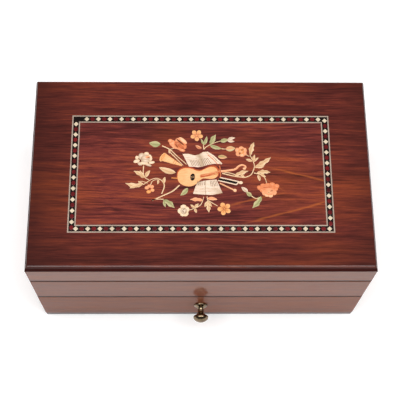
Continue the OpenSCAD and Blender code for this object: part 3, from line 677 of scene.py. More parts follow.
def stemShape(inlay, points, width=0.8, tones=("cream", "creamDeep"), level=1, taper=0.6):
    run = spline([(x, y) for x, y in points], 6)
    rows, tints = [], []
    for i, spot in enumerate(run):
        ahead = run[min(i + 1, len(run) - 1)] - run[max(i - 1, 0)]
        side = Vector((-ahead.y, ahead.x)).normalized()
        half = width / 2 * (1 - (1 - taper) * i / (len(run) - 1))
        rows.append([spot + side * half * k for k in (-1, 0, 1)])
        tints.append([palette[tones[1]], palette[tones[0]], palette[tones[0]]])
    inlay.grid(rows, tints, level)


star = {"points": 5, "spread": 34, "steps": 5, "half": 3, "swell": (0.12, 0.62), "round": 0.16, "crown": 0.05,
        "edge": 0.28, "veinReach": 0.6, "veinWidth": 0.35, "eye": 0.16}


def petalShape(inlay, centre, turn, reach, tones, level):  # one petal of a star-shaped flower
    rows, tints = [], []
    inner, outer = palette[tones[0]], palette[tones[1]]
    swellStart, swellRun = star["swell"]
    for i in range(star["steps"] + 1):
        t = i / star["steps"]
        swell = math.sin(math.pi * (swellStart + swellRun * t))
        row, tint = [], []
        for k in range(-star["half"], star["half"] + 1):
            s = k / star["half"]
            angle = math.radians(turn) + math.radians(star["spread"]) * s * swell
            out = reach * t * (1 - star["round"] * s * s * t + star["crown"] * (1 - abs(s)) * t ** 3)
            row.append(Vector(centre) + Vector((math.cos(angle), math.sin(angle))) * out)
            tint.append(mixTone(inner, outer, min(1, t * 1.1) * (1 - star["edge"] * abs(s))))
        rows.append(row)
        tints.append(tint)
    inlay.grid(rows, tints, level)


def ovalOutline(centre, rx, ry, turn=0.0, count=20):
    tilt = math.radians(turn)
    spots = []
    for i in range(count):
        a = 2 * math.pi * i / count
        x, y = rx * math.cos(a), ry * math.sin(a)
        spots.append((centre[0] + x * math.cos(tilt) - y * math.sin(tilt),
                      centre[1] + x * math.sin(tilt) + y * math.cos(tilt)))
    return spots


def petals(inlay, listed):  # rounded petals: centre, two radii, turn, inner and outer tone
    for level, (centre, rx, ry, turn, inner, outer) in enumerate(listed):
        inlay.blob(ovalOutline(centre, rx, ry, turn, 18), 2 + level * 0.3, palette[inner], palette[outer],
                   (0.45, 0.8, 1.0))


def starShape(inlay, centre, size, turn, tones, heart):
    turns = [turn + i * 360 / star["points"] for i in range(star["points"])]
    for i, angle in enumerate(turns):
        petalShape(inlay, centre, angle, size, tones, 3 + (i % 2) * 0.6)
    for angle in (math.radians(degrees) for degrees in turns):
        tip = Vector(centre) + Vector((math.cos(angle), math.sin(angle))) * size * star["veinReach"]
        stemShape(inlay, [centre, (Vector(centre) + tip) / 2, tip], star["veinWidth"], (heart, heart), 5, 0.5)
    eye = size * star["eye"]
    inlay.blob(ovalOutline(centre, eye, eye), 6, palette["yellow"], palette[heart])


def addLeaves():
    leaves, stems = Inlay(), Inlay()
    green, cream, warm = ("green", "greenDeep"), ("cream", "creamDeep"), ("peach", "coral")
    for base, tip, width, bend, tones, lobes in (
        ((-32.6, 24.2), (-41.7, 25.4), 6.0, 0.4, green, 0), ((-45.6, -5), (-53.6, 0.9), 3.6, -0.8, cream, 2),
        ((-44, -4.6), (-40.6, 1.3), 3.4, 0.6, cream, 0), ((-44.5, -5), (-48.6, 1.4), 2.2, 0.4, cream, 0),
        ((-46, -10.4), (-60, -9.6), 4.6, 1.8, cream, 2), ((-45.4, -10.8), (-50, -7.9), 2.0, 0.4, cream, 0),
        ((-50, -12), (-56.5, -14), 2.6, -0.4, cream, 0), ((-29.7, -10.2), (-28.7, -4.2), 2.8, 0.3, cream, 0),
        ((-34, -6.6), (-34.4, -10.6), 1.8, 0.2, cream, 0), ((-20.3, -0.6), (-33.5, 4.0), 5.4, 0.6, cream, 0),
        ((-29.9, -24), (-21, -30.7), 4.6, 0.7, green, 2), ((-29.4, -24.4), (-28.0, -30), 2.2, -0.3, green, 0),
        ((-10.6, -13.9), (-16.4, -20.1), 4.2, 0.5, green, 0),
        ((-5.6, -30.6), (-2.2, -26.9), 2.4, 0, cream, 0),
        ((-5.6, -30.6), (-8.5, -27.8), 2.0, 0, cream, 0), ((-5.2, -30.8), (-3.9, -34.9), 2.4, 0, cream, 0),
        ((2.5, 23.7), (4.8, 31.3), 2.8, -0.3, green, 0), ((2.3, 23.9), (0.4, 28.8), 1.8, 0.2, green, 0),
        ((7.6, 24), (12.1, 33), 4.0, 0.5, green, 2), ((7.2, 23.4), (16.6, 20.3), 3.6, -0.4, green, 0),
        ((7.6, 24.4), (11.8, 28.3), 2.2, 0.3, green, 0), ((15.6, 26.9), (22, 28.6), 4.0, 0, green, 0),
        ((21.4, 28.3), (27.6, 30.2), 2.8, 0.3, ("white", "grey"), 0),
        ((21.2, 27.7), (27, 26.8), 2.4, -0.2, ("white", "grey"), 0),
        ((19.8, 20), (27.6, 20.8), 5.2, 0, ("green", "coral"), 0),
        ((13.4, 13.5), (20.9, 12.8), 4.0, 0, ("peach", "greenDeep"), 0),
        ((26.8, -3), (37.6, 0.9), 3.8, 0.4, cream, 2), ((31, -1.8), (34.6, -4.4), 2.0, 0, cream, 0),
        ((42.8, 3.8), (56, 12.9), 4.6, -0.5, cream, 3), ((43.6, 4.4), (50.2, 4.6), 2.6, 0, cream, 0),
        ((39.6, 15.0), (42.7, 26.1), 4.2, 0.6, cream, 3), ((41.3, 9.6), (43.0, 15.2), 2.4, 0, cream, 0),
        ((41, 9.4), (35.9, 11.2), 2.6, 0, cream, 0), ((41.4, 9.0), (46.0, 12.6), 2.2, 0, cream, 0),
        ((44.4, -0.5), (55.2, -0.2), 3.8, 0.5, cream, 3), ((45.2, -2.4), (46.5, -7.8), 2.6, 0.2, cream, 0),
        ((47, -1.6), (51.4, -4.2), 2.4, 0, cream, 0),
        ((36.8, -17.2), (31.8, -13), 3.6, 0, ("white", "grey"), 0),
        ((39.6, -20.6), (35.6, -17.3), 3.8, 0, green, 0), ((47.3, -21.1), (40, -30.8), 4.6, 0.6, green, 2),
        ((4.6, -22.6), (12.6, -23.6), 3.2, 0.3, warm, 0), ((1.2, -24.2), (-8.9, -23.6), 3.4, -0.4, warm, 2),
        ((5.2, -25), (2.6, -29.8), 2.8, 0, cream, 0), ((5.3, -26.2), (5.9, -34.5), 3.4, 0, cream, 2),
        ((4.9, -25), (8.3, -29.6), 2.2, 0, cream, 0), ((-15.2, 5.4), (-30.8, 13.2), 0.9, 0, cream, 0),
        ((0.4, 20.4), (-4.4, 23.3), 3.0, 0.2, ("peach", "coralDeep"), 0),
        ((-25, 20), (-25.4, 16), 2.0, 0, cream, 0),
    ):
        leafShape(leaves, base, tip, width, bend, tones, 2, lobes)
    for width, points in (
        (1.0, [(-31.3, 22.8), (-25, 19.6), (-19, 13.6), (-11.6, 6.6)]),
        (0.9, [(-25.6, 18), (-20, 12), (-14.4, 5.8)]),
        (0.7, [(-26, 19.4), (-22, 20.6), (-18.6, 20.6)]),
        (0.9, [(-45.8, 5.4), (-46, -0.8), (-44.7, -4.7), (-41.3, -7)]),
        (0.9, [(-31.1, -18.6), (-29.1, -11.9), (-31.3, -7.4), (-35.2, -5.5), (-39.7, -6.6), (-45.8, -10.9)]),
        (0.7, [(-40, -11.4), (-39, -8.4), (-36.4, -6.8), (-33, -7)]),
        (0.6, [(-42.5, -9.6), (-46, -8.2), (-49, -8)]),
        (1.1, [(-17.2, -11.3), (-22.6, -16.4), (-29.7, -20), (-38.8, -24.4), (-36.2, -23.4), (-29.7, -23.3)]),
        (0.8, [(-9.7, -32.4), (-7.4, -31.8), (-5.8, -30.8)]),
        (0.8, [(-4, -30.4), (-1.4, -28.8), (0.4, -26.4), (2, -21.2)]),
        (0.7, [(2.2, 19.8), (1.8, 24.4), (0, 28.8)]),
        (0.8, [(2.4, 19.8), (4, 21.8), (8, 24.2), (12, 26), (16.2, 27.3)]),
        (0.8, [(16.4, 20.4), (18.4, 20.1), (20.2, 20.1)]),
        (1.0, [(16.7, -1.1), (24.4, -3.2), (31, -4.3), (35.6, -4.4), (40, -1.9), (42.2, 3.1), (42.6, 5.9),
               (41.6, 9.4), (39.2, 15.2)]),
        (0.7, [(35.3, 16.4), (37.2, 14.4), (38.9, 13.7)]),
        (0.8, [(42, -0.8), (47.8, -2.4), (50.6, -5.2), (51.9, -9.9)]),
        (0.9, [(37.6, -18.8), (40.4, -21.2), (43.3, -22.7), (47.2, -21.3)]),
        (0.8, [(5.4, -24.4), (8.4, -26.4), (12.8, -29.1)]),
        (0.8, [(4.4, -21), (4.9, -24), (5.2, -26.8)]),
        (0.9, [(16.1, 0.4), (24, -1.2), (28.4, -3)]),
    ):
        stemShape(stems, points, width)
    leaves.finish("inlay_leaves", "leaf_inlay", "motif_leaves")
    stems.finish("inlay_stems", "leaf_inlay")


def addBlooms():
    blooms = Inlay()
    petals(blooms, (  # coral rose at the upper left
        ((-22.8, 25.2), 2.6, 3.0, 30, "peach", "coral"), ((-24.7, 27.3), 1.9, 1.7, 0, "peach", "orange"),
        ((-21.6, 22.3), 3.0, 1.5, -40, "peach", "coral"), ((-15.2, 19.1), 2.6, 1.3, -14, "peach", "orange"),
        ((-19.0, 21.4), 3.4, 1.4, -32, "peach", "coral"), ((-13.4, 22.6), 1.8, 2.6, 14, "coral", "orange"),
        ((-17.0, 25.0), 4.7, 4.6, -40, "coral", "orange"), ((-14.4, 27.6), 4.1, 1.5, -43, "cream", "peach"),
        ((-18.6, 28.4), 2.2, 1.4, 30, "peach", "coral"), ((-16.7, 26.2), 4.1, 0.7, -42, "wine", "brown"),
        ((-18.0, 24.2), 3.4, 1.5, -42, "coral", "coralDeep"),
        ((-16.2, 22.4), 2.9, 1.1, -35, "orange", "coralDeep"),
        ((-19.6, 22.8), 2.0, 0.5, -50, "coralDeep", "brown")))
    petals(blooms, (  # white rose at the left
        ((-51.2, 12.6), 1.4, 1.5, 0, "white", "cream"), ((-51.4, 9.4), 2.6, 1.5, 18, "white", "cream"),
        ((-48.6, 7.1), 2.1, 1.5, -18, "white", "grey"), ((-42.6, 6.5), 3.4, 1.2, -24, "white", "grey"),
        ((-39.4, 8.2), 2.4, 1.2, 8, "white", "cream"), ((-45.4, 7.8), 3.0, 1.5, 0, "white", "cream"),
        ((-43.6, 15.8), 2.0, 1.6, 0, "white", "cream"), ((-47.5, 13.6), 2.6, 3.0, -8, "white", "grey"),
        ((-40.9, 12.3), 1.8, 2.9, 12, "white", "cream"), ((-44.2, 12.2), 3.6, 2.9, 0, "white", "grey"),
        ((-42.7, 12.9), 2.0, 1.1, 8, "coral", "peach"), ((-42.2, 12.3), 1.1, 0.4, 20, "coralDeep", "brown"),
        ((-44.3, 9.7), 3.7, 1.5, -4, "white", "grey"), ((-47.3, 11.2), 0.35, 1.9, 16, "ink", "grey")))
    petals(blooms, (  # small orange flower
        ((-43.0, -13.6), 1.7, 1.5, 0, "peach", "coral"), ((-38.9, -12.7), 1.6, 1.4, 20, "peach", "coral"),
        ((-41.2, -12.2), 1.5, 1.4, 0, "peach", "coral"), ((-38.5, -15.6), 1.6, 1.4, -20, "yellow", "coral"),
        ((-41.4, -17.0), 1.9, 1.5, 10, "yellow", "amber"),
        ((-40.5, -14.5), 0.8, 0.6, 0, "wine", "coralDeep")))
    petals(blooms, (  # round white flower
        ((-16.4, -33.2), 2.2, 2.4, 10, "white", "cream"), ((-14.0, -29.9), 2.4, 2.0, 0, "white", "cream"),
        ((-11.4, -32.0), 2.0, 2.4, 0, "white", "cream"), ((-12.4, -35.6), 2.4, 2.0, 30, "white", "cream"),
        ((-14.6, -36.0), 2.0, 1.7, 0, "white", "cream"), ((-13.8, -33.2), 2.6, 2.9, 20, "white", "grey"),
        ((-13.6, -31.6), 1.0, 0.4, 40, "greenDeep", "ink"), ((-14.3, -33.6), 0.4, 1.2, 10, "brown", "ink"),
        ((-12.6, -34.4), 0.5, 1.0, -30, "ink", "grey")))
    starShape(blooms, (-3.4, 32.2), 4.9, -16, ("coral", "yellow"), "orange")
    petals(blooms, (  # peach flower at the right
        ((29.4, 18.8), 2.0, 2.4, 20, "peach", "coral"), ((32.4, 20.6), 2.1, 1.9, 0, "peach", "coral"),
        ((35.0, 18.8), 1.8, 2.4, 0, "peach", "coral"), ((30.0, 15.8), 2.2, 2.1, 0, "peach", "coral"),
        ((32.9, 14.9), 2.3, 1.7, 0, "cream", "coral"), ((35.0, 16.2), 1.6, 1.8, 0, "peach", "coral"),
        ((32.2, 17.7), 2.4, 2.3, 0, "peach", "amber"), ((33.2, 19.4), 1.1, 0.8, 40, "amber", "brown"),
        ((31.0, 16.2), 0.7, 1.1, -20, "coralDeep", "brown")))
    starShape(blooms, (18.0, -31.4), 5.2, 40, ("amber", "yellow"), "coralDeep")
    petals(blooms, (  # carnation
        ((46.2, -13.6), 2.2, 1.9, -30, "coral", "orange"), ((49.0, -11.8), 2.3, 1.9, 0, "coral", "orange"),
        ((52.6, -11.2), 2.4, 1.7, 0, "coral", "orange"), ((56.2, -10.7), 2.3, 1.7, 0, "coral", "orange"),
        ((59.6, -12.2), 2.2, 1.9, 20, "coral", "orange"), ((58.8, -14.6), 2.0, 1.7, 0, "coral", "orange"),
        ((48.4, -15.4), 2.4, 2.2, -40, "coral", "orange"), ((52.6, -13.4), 6.4, 2.2, 0, "coral", "orange"),
        ((52.4, -13.2), 3.6, 0.5, 4, "orange", "coralDeep"), ((50.0, -17.8), 2.2, 2.4, 10, "peach", "coral"),
        ((57.4, -17.6), 2.2, 2.2, -10, "peach", "coral"), ((51.8, -19.6), 1.9, 1.7, 0, "cream", "peach"),
        ((54.6, -20.2), 2.0, 1.6, 0, "cream", "peach"), ((53.8, -17.0), 4.4, 2.9, 0, "peach", "coral"),
        ((55.6, -16.2), 1.5, 0.7, 20, "brown", "coral"), ((53.2, -17.6), 1.0, 0.5, 0, "greenDeep", "peach")))
    horn = [(-15.6, 5.0), (-15.2, 6.0), (-21.7, 10.9), (-28.1, 15.9), (-31.8, 12.4), (-31.2, 9.6),
            (-24.2, 7.4)]
    blooms.blob(horn, 3, palette["mapleLight"], palette["maple"])
    petals(blooms, (((-30.6, 12.8), 4.2, 1.9, 60, "mapleLight", "maple"),
                    ((-29.9, 12.9), 3.5, 1.2, 60, "amber", "brown"),
                    ((-30.5, 13.1), 3.3, 1.0, 60, "maple", "amber")))
    for x, y in ((-20.4, 8.0), (-22.0, 8.6)):
        stemShape(blooms, [(x - 0.6, y - 1.4), (x + 1.2, y + 1.6)], 0.3, ("amber", "brown"), 8, 1.0)
    blooms.finish("inlay_blooms", "coral_inlay", "motif_flowers")


def ruleLines(inlay, starts, ends, count, width, level, tone="ink"):
    # parallel strips between two edges of a page
    for i in range(count):
        t = (i + 0.5) / count
        a, b = (Vector(starts[0]).lerp(Vector(starts[1]), t), Vector(ends[0]).lerp(Vector(ends[1]), t))
        stemShape(inlay, [a, a.lerp(b, 0.5), b], width, (tone, tone), level, 1.0)


def addPages():
    pages = Inlay()
    paper, grey = palette["paper"], palette["grey"]
    left = [[(-14.9, 15.9), (-9.8, 15.8), (-5.4, 14.6), (-1.6, 15.4)],
            [(-12.4, 10.6), (-8, 10.6), (-4, 9.8), (0, 10.4)],
            [(-9.6, 4.6), (-5.6, 4.6), (-2.6, 4.2), (0.6, 4.6)]]
    right = [[(-1.6, 15.4), (1.4, 17.4), (4.4, 17.6), (7.4, 15.8)],
             [(0, 10.4), (3.6, 12.6), (7.8, 12.4), (12, 10.2)],
             [(0.6, 4.6), (5, 6.2), (10.2, 7.2), (16.1, 7)]]
    pages.grid(left, [[paper, paper, paper, grey]] * 3, 2)
    pages.grid(right, [[grey, paper, paper, paper]] * 3, 2)
    lower = [[(-3.6, -9.4), (2, -7.6), (7.4, -6.9), (12.2, -6.5)],
             [(-5, -14), (1.6, -13.4), (8, -13), (14.4, -12.4)],
             [(-6.5, -18.7), (0.4, -19.2), (8.2, -19.7), (16.8, -18)]]
    pages.grid(lower, [[grey, paper, paper, paper], [paper] * 4, [paper, paper, paper, grey]], 2)
    ruleLines(pages, ((-9.6, 10.4), (-1.6, 10.0)), ((-7.4, 5.4), (0.2, 5.2)), 6, 0.42, 4)
    ruleLines(pages, ((-0.4, 11.6), (5.4, 12.4)), ((1.4, 5.4), (9, 7.4)), 5, 0.42, 4)
    ruleLines(pages, ((-12.6, 13.4), (-11.2, 8.4)), ((-3.4, 12.6), (-2, 8.0)), 3, 0.22, 4, "grey")
    ruleLines(pages, ((-3.4, -7.6), (3.6, -7.2)), ((-4.4, -11.4), (3.4, -11.4)), 5, 0.42, 4)
    ruleLines(pages, ((6.6, -7.4), (12.2, -7.2)), ((7.2, -12.4), (14.0, -12.4)), 5, 0.42, 4)
    ruleLines(pages, ((-5.4, -13.4), (-6.0, -17.6)), ((13.0, -13.6), (14.6, -16.8)), 3, 0.22, 4, "grey")
    stemShape(pages, [(4.6, 17.2), (9.6, 13.9), (13.2, 10.4), (16.5, 6.9)], 1.7, ("white", "grey"), 5, 0.8)
    stemShape(pages, [(5.4, 15.0), (8.6, 12.0), (11, 9.4), (13.2, 6.8)], 0.6, ("orange", "coralDeep"), 5, 0.8)
    stemShape(pages, [(-15, 15.9), (-9.8, 16), (-5.4, 14.8), (-1.6, 15.6), (1.4, 17.5), (4.4, 17.8)], 0.4,
              ("brown", "brown"), 5, 1)
    stemShape(pages, [(-6.6, -18.9), (0.4, -19.5), (8.2, -20), (16.9, -18.2)], 0.45, ("brown", "brown"), 5, 1)
    stemShape(pages, [(3.6, -7.6), (3.2, -13), (3.6, -19.4)], 0.4, ("grey", "ink"), 5, 1)
    pages.finish("inlay_pages", "holly_inlay", "motif_sheets")


bodyOutline = [(-19.3, -4.6), (-18.9, 0.4), (-16.4, 3.2), (-12.4, 4.4), (-7.6, 3.9), (-3.6, 2.2), (0.4, 2.0),
               (4.6, 4.2), (8.6, 5.6), (12.2, 4.9), (14.4, 1.4), (14, -2.6), (12, -4.6), (8.8, -5.4),
               (4.6, -5.0), (1.4, -5.2), (-1.6, -7.6), (-5, -10.8), (-9.6, -12.2), (-14.6, -11.2),
               (-18, -8.4)]


def closedRun(points, steps=4):
    # repeats the ends so that the run closes smoothly
    run = spline([points[-1], *points, points[0], points[1]], steps)
    return run[steps:-2 * steps - 1] + run[-2 * steps - 1:-steps - 1]


def addViolin():
    violin = Inlay()
    outer = closedRun(bodyOutline)
    centre = Vector((-3.4, -2.6))
    inner = [centre + (Vector(p) - centre) * 0.95 + Vector((-0.2, -0.7)) for p in outer]
    violin.blob(outer, 3, palette["rim"], palette["rim"], (0.5, 1.0))
    violin.blob(inner, 5, palette["mapleLight"], palette["maple"], (0.4, 0.8, 1.0))
    violin.blob(ovalOutline((-6.8, -4.4), 2.25, 3.45, -6), 6, palette["amber"], palette["maple"])
    violin.blob(ovalOutline((-6.8, -4.4), 1.9, 3.1, -6), 7, palette["black"], palette["black"])
    board = [(-1.2, -3.9), (-0.6, -2.2), (7.4, -0.6), (15.2, 1.6), (15.6, 0.2), (7.6, -2.6), (1.4, -4.8)]
    violin.blob(board, 6, palette["orange"], palette["rim"])
    stemShape(violin, [(-0.6, -4.6), (6, -3.4), (13.6, -1.4)], 0.4, ("rim", "brown"), 8, 1.0)
    petals(violin, (((-15.8, -5.9), 1.7, 1.9, 0, "orange", "coral"),
                    ((-14.7, -5.9), 0.5, 1.8, 0, "rim", "brown")))
    stemShape(violin, [(-23.6, -5.2), (-16.6, -5.8)], 1.0, ("amber", "brown"), 3, 1.2)
    for shift in (-0.8, 0, 0.8):
        stemShape(violin, [(-14.6, -5.8 + shift), (-1.2, -3.2 + shift * 0.8), (15, 0.9 + shift * 0.4)], 0.14,
                  ("mapleLight", "maple"), 9, 1.0)
    for x, y in ((14.6, 2.8), (14.9, -2.6)):
        stemShape(violin, [(x, y + 2.6), (x + 0.5, y), (x - 0.2, y - 2.4)], 0.9, ("orange", "rim"), 6, 0.7)
    stemShape(violin, [(15.6, 0.6), (21, 1.2), (27, 2.4), (30, 5.0), (32.8, 6.1), (35.4, 4.9), (35.0, 3.2)],
              1.8, ("peach", "coral"), 5, 0.75)
    violin.blob(ovalOutline((34.5, 3.0), 1.3, 1.0), 6, palette["cream"], palette["peach"])
    # bow and flute below the neck
    stemShape(violin, [(13.9, -5.9), (20.8, -7.6), (28.6, -9.6)], 2.7, ("black", "black"), 1, 1.0)
    stemShape(violin, [(14.6, -4.7), (22, -6.4), (29.9, -8.4)], 0.9, ("white", "cream"), 2, 1.0)
    stemShape(violin, [(13.4, -7.3), (20, -8.9), (27.9, -10.9)], 0.9, ("white", "cream"), 2, 1.0)
    stemShape(violin, [(27.7, -10.9), (28.8, -9.8), (29.9, -8.2)], 0.9, ("white", "cream"), 3, 1.0)
    stemShape(violin, [(14.6, -9.7), (20, -12.4), (25.9, -15.5)], 1.1, ("peach", "creamDeep"), 2, 1.1)
    violin.blob(ovalOutline((31.3, -9.1), 1.7, 1.3), 4, palette["white"], palette["cream"])
    violin.blob(ovalOutline((26.6, -15.8), 1.4, 1.4), 4, palette["cream"], palette["peach"])
    violin.finish("inlay_violin", "maple_inlay", "motif_violin")


border = {"pitch": 9.4, "inset": 2.25, "rows": ((21, -92.4, 1), (22, -97.5, -1)),
          "columns": ((10, 42.85, -1), (10, 46.25, 1)), "patch": (2.1, 1.0, 1.45),
          "patchRings": ((1, -0.0002), (1, 0.00002), (0.96, 0.00003))}


def addPatches():  # red lozenges between the diamonds of the border
    build = bmesh.new()
    middle = (bandLow + bandHigh) / 2
    half = (bandHigh - bandLow) / 2
    inset = border["inset"] * mm
    pitch = border["pitch"] * mm
    spots = []
    for count, start, side in border["rows"]:
        y = middle.y + side * (half.y - inset)
        spots += [(fieldCentre.x + start * mm + (i + 0.5) * pitch, y, 1) for i in range(count - 1)]
    for count, start, side in border["columns"]:
        x = middle.x + side * (half.x - inset)
        spots += [(x, fieldCentre.y + start * mm - (i + 0.5) * pitch, 0) for i in range(count)]
    point, shoulder, width = border["patch"]
    outline = ((-point, 0), (-shoulder, -width), (shoulder, -width), (point, 0), (shoulder, width),
               (-shoulder, width))
    for x, y, flat in spots:
        shape = [(a, b) if flat else (b, a) for a, b in outline]
        rings = [[build.verts.new((x + a * mm * k, y + b * mm * k, topZ + z)) for a, b in shape]
                 for k, z in border["patchRings"]]
        order = 1 if flat else -1
        build.faces.new(rings[0][::-order])
        build.faces.new(rings[2][::order])
        for low, high in zip(rings, rings[1:]):
            for i in range(6):
                build.faces.new((low[i], low[(i + 1) % 6], high[(i + 1) % 6], high[i])[::order])
    bmesh.ops.recalc_face_normals(build, faces=build.faces[:])
    settle(addMesh("border_patches", build, cherry), "lid", "ebony_band")


addLeaves()
addBlooms()
addPages()
addViolin()
addPatches()
print("marquetry laid")


# drawer knob

knob = {
    "steps": 64, "foot": 0.00585, "out": 0.0155, "nutSteps": 6, "nut": 0.0036, "nutEdge": 0.0003,
    "stud": 0.0017, "studTuck": 0.0004,
    "profile": [(5.85, 0.5), (5.6, 1.1), (4.6, 1.7), (3.4, 2.5), (2.75, 3.6), (2.6, 5.2), (2.6, 6.4),
                (2.9, 7.4), (3.7, 8.4), (5.0, 9.2), (6.1, 9.9), (6.4, 10.9), (6.3, 11.9), (5.6, 13.1),
                (4.3, 14.2), (2.4, 15.1), (0.9, 15.45)]}


def addKnob():
    low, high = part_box("drawer_knob")
    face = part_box("drawer_front")[0].y
    centre = ((low.x + high.x) / 2, face, (low.z + high.z) / 2)
    build = bmesh.new()
    head = [(p.x * mm, p.y * mm) for p in spline(knob["profile"], 4)]
    lathe(build, [(0, 0), (knob["foot"], 0), *head, (0, knob["out"])], centre, (0, -1, 0), knob["steps"])
    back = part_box("drawer_front")[1].y
    thick = high.y - back
    wide, edge, stud, tuck = knob["nut"], knob["nutEdge"], knob["stud"], knob["studTuck"]
    nut = [(0, -tuck), (stud, -tuck), (stud, 0), (wide - edge, 0), (wide, edge), (wide, thick - edge),
           (wide - edge, thick), (0, thick)]
    lathe(build, nut, (centre[0], back, centre[2]), (0, 1, 0), knob["nutSteps"])
    settle(addMesh("knob", build, antique, 35), "drawer", "antique_nickel", "drawer_knob")


addKnob()
print("knob turned")


# padding, velvet and felt

roll = {
    "count": 9, "gap": 0.0006, "shorter": 0.002, "start": 0.93, "margin": 0.0001, "around": 30, "along": 36,
    "endRound": 2.6,  # in metres, which is far past the roll's own size, so the bar is scaled down afterwards
    "endTuck": 0.7, "endLift": 0.4, "shoulder": 0.16, "capRing": 0.45, "grow": 10, "frames": 18, "glue": 0.4,
    "cap": 1.2, "rippleSize": 260, "rippleStep": 7.3, "ripple": 0.00012, "rippleFrom": 0.004,
    "cloth": {"quality": 6, "mass": 0.12, "tension_stiffness": 12, "compression_stiffness": 12,
              "shear_stiffness": 5, "bending_stiffness": 3.0, "use_pressure": True,
              "uniform_pressure_force": 2.5, "shrink_min": -0.015},
}


def rollBody(build, long, wide, tall):  # a flat-topped bar, far wider than life, that flares at its ends
    around, along, soft = roll["around"], roll["along"], roll["endRound"]
    bar = tall - wide / 2
    rings = []
    for i in range(along + 1):
        x = -long / 2 + long * (0.5 - 0.5 * math.cos(math.pi * i / along))
        gap = min(1, (long / 2 - abs(x)) / soft)
        inset = soft * roll["endTuck"] * (1 - math.sqrt(1 - (1 - gap) ** 2))
        ring = []
        for k in range(around):
            turn = 2 * math.pi * k / around
            y, rise = math.sin(turn) * (wide / 2 - inset), -math.cos(turn)
            if rise > 0:
                z = bar + rise * (wide / 2 - inset)
            else:
                z = bar * (1 + rise ** 3) + inset * roll["endLift"]
                y *= 1 + roll["shoulder"] * abs(math.sin(2 * turn))
            ring.append(build.verts.new((x, y, max(0, z))))
        rings.append(ring)
    for a, b in zip(rings, rings[1:]):
        for k in range(around):
            build.faces.new((a[k], a[(k + 1) % around], b[(k + 1) % around], b[k]))
    for ring in (rings[0], rings[-1]):
        middle = sum((vert.co for vert in ring), Vector()) / around
        inner = [build.verts.new(vert.co.lerp(middle, roll["capRing"])) for vert in ring]
        hub = build.verts.new(middle)
        for k in range(around):
            build.faces.new((ring[k], ring[(k + 1) % around], inner[(k + 1) % around], inner[k]))
            build.faces.new((inner[k], inner[(k + 1) % around], hub))
    bmesh.ops.recalc_face_normals(build, faces=build.faces[:])


def inflate(data):  # a cloth run under air pressure, in which the cap lets each point move only a little
    grow, scene = roll["grow"], bpy.context.scene
    piece = bpy.data.objects.new("rollCloth", data.copy())
    scene.collection.objects.link(piece)
    piece.data.transform(Matrix.Scale(grow, 4))
    pins = piece.vertex_groups.new(name="glued")
    glue = roll["glue"] * grow * mm
    pins.add([vert.index for vert in piece.data.vertices if vert.co.z < glue], 1.0, "REPLACE")
    cloth = piece.modifiers.new("cloth", "CLOTH")
    for key, value in roll["cloth"].items():
        setattr(cloth.settings, key, value)
    cloth.settings.effector_weights.gravity = 0
    cloth.settings.vertex_group_mass = "glued"
    for frameNumber in range(1, roll["frames"] + 1):
        scene.frame_set(frameNumber)
    solved = piece.evaluated_get(bpy.context.evaluated_depsgraph_get()).to_mesh()
    for vert, there in zip(data.vertices, solved.vertices):
        move = there.co / grow - vert.co
        vert.co += move * min(1, roll["cap"] * mm / max(move.length, 1e-9))
    scene.frame_set(1)
    bpy.data.objects.remove(piece)


def addRolls():
    low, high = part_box("ring_rolls")
    pitch = (high.y - low.y + roll["gap"]) / roll["count"]
    limit = Vector(((high.x - low.x) / 2, pitch / 2 - roll["gap"] / 2, high.z - low.z))
    build = bmesh.new()
    rollBody(build, limit.x * 2 - roll["shorter"], limit.y * 2 * roll["start"], limit.z * roll["start"])
    base = bpy.data.meshes.new("rollBase")
    build.to_mesh(base)
    build.free()
    inflate(base)
    reach = [max(abs(vert.co[axis]) for vert in base.vertices) for axis in range(3)]
    fit = [min(1, (limit[axis] - roll["margin"]) / reach[axis]) for axis in range(3)]
    for vert in base.vertices:
        vert.co = Vector(vert.co[axis] * fit[axis] for axis in range(3))
    for i in range(roll["count"]):
        data = base.copy()
        start = Vector((0, i * roll["rippleStep"], 0))
        for vert in data.vertices:
            ripple = noise.noise_vector(vert.co * roll["rippleSize"] + start) * roll["ripple"]
            spot = vert.co + ripple * min(1, vert.co.z / roll["rippleFrom"])
            spot.x = max(-limit.x, min(limit.x, spot.x))
            spot.y = max(-limit.y, min(limit.y, spot.y))
            vert.co = (spot.x, spot.y, max(0, min(limit.z, spot.z)))
        data.materials.append(velvet)
        for face in data.polygons:
            face.use_smooth = True
        piece = bpy.data.objects.new("ring_roll_" + str(i + 1), data)
        piece.location = ((low.x + high.x) / 2, low.y - roll["gap"] / 2 + (i + 0.5) * pitch, low.z)
        bpy.context.scene.collection.objects.link(piece)
        piece.modifiers.new("nap", "SUBSURF").render_levels = 1
        settle(piece, "case", "wine_velvet", "ring_rolls")


card = {"cell": 0.003, "edge": 0.0009, "swell": 0.00025, "waves": 90}


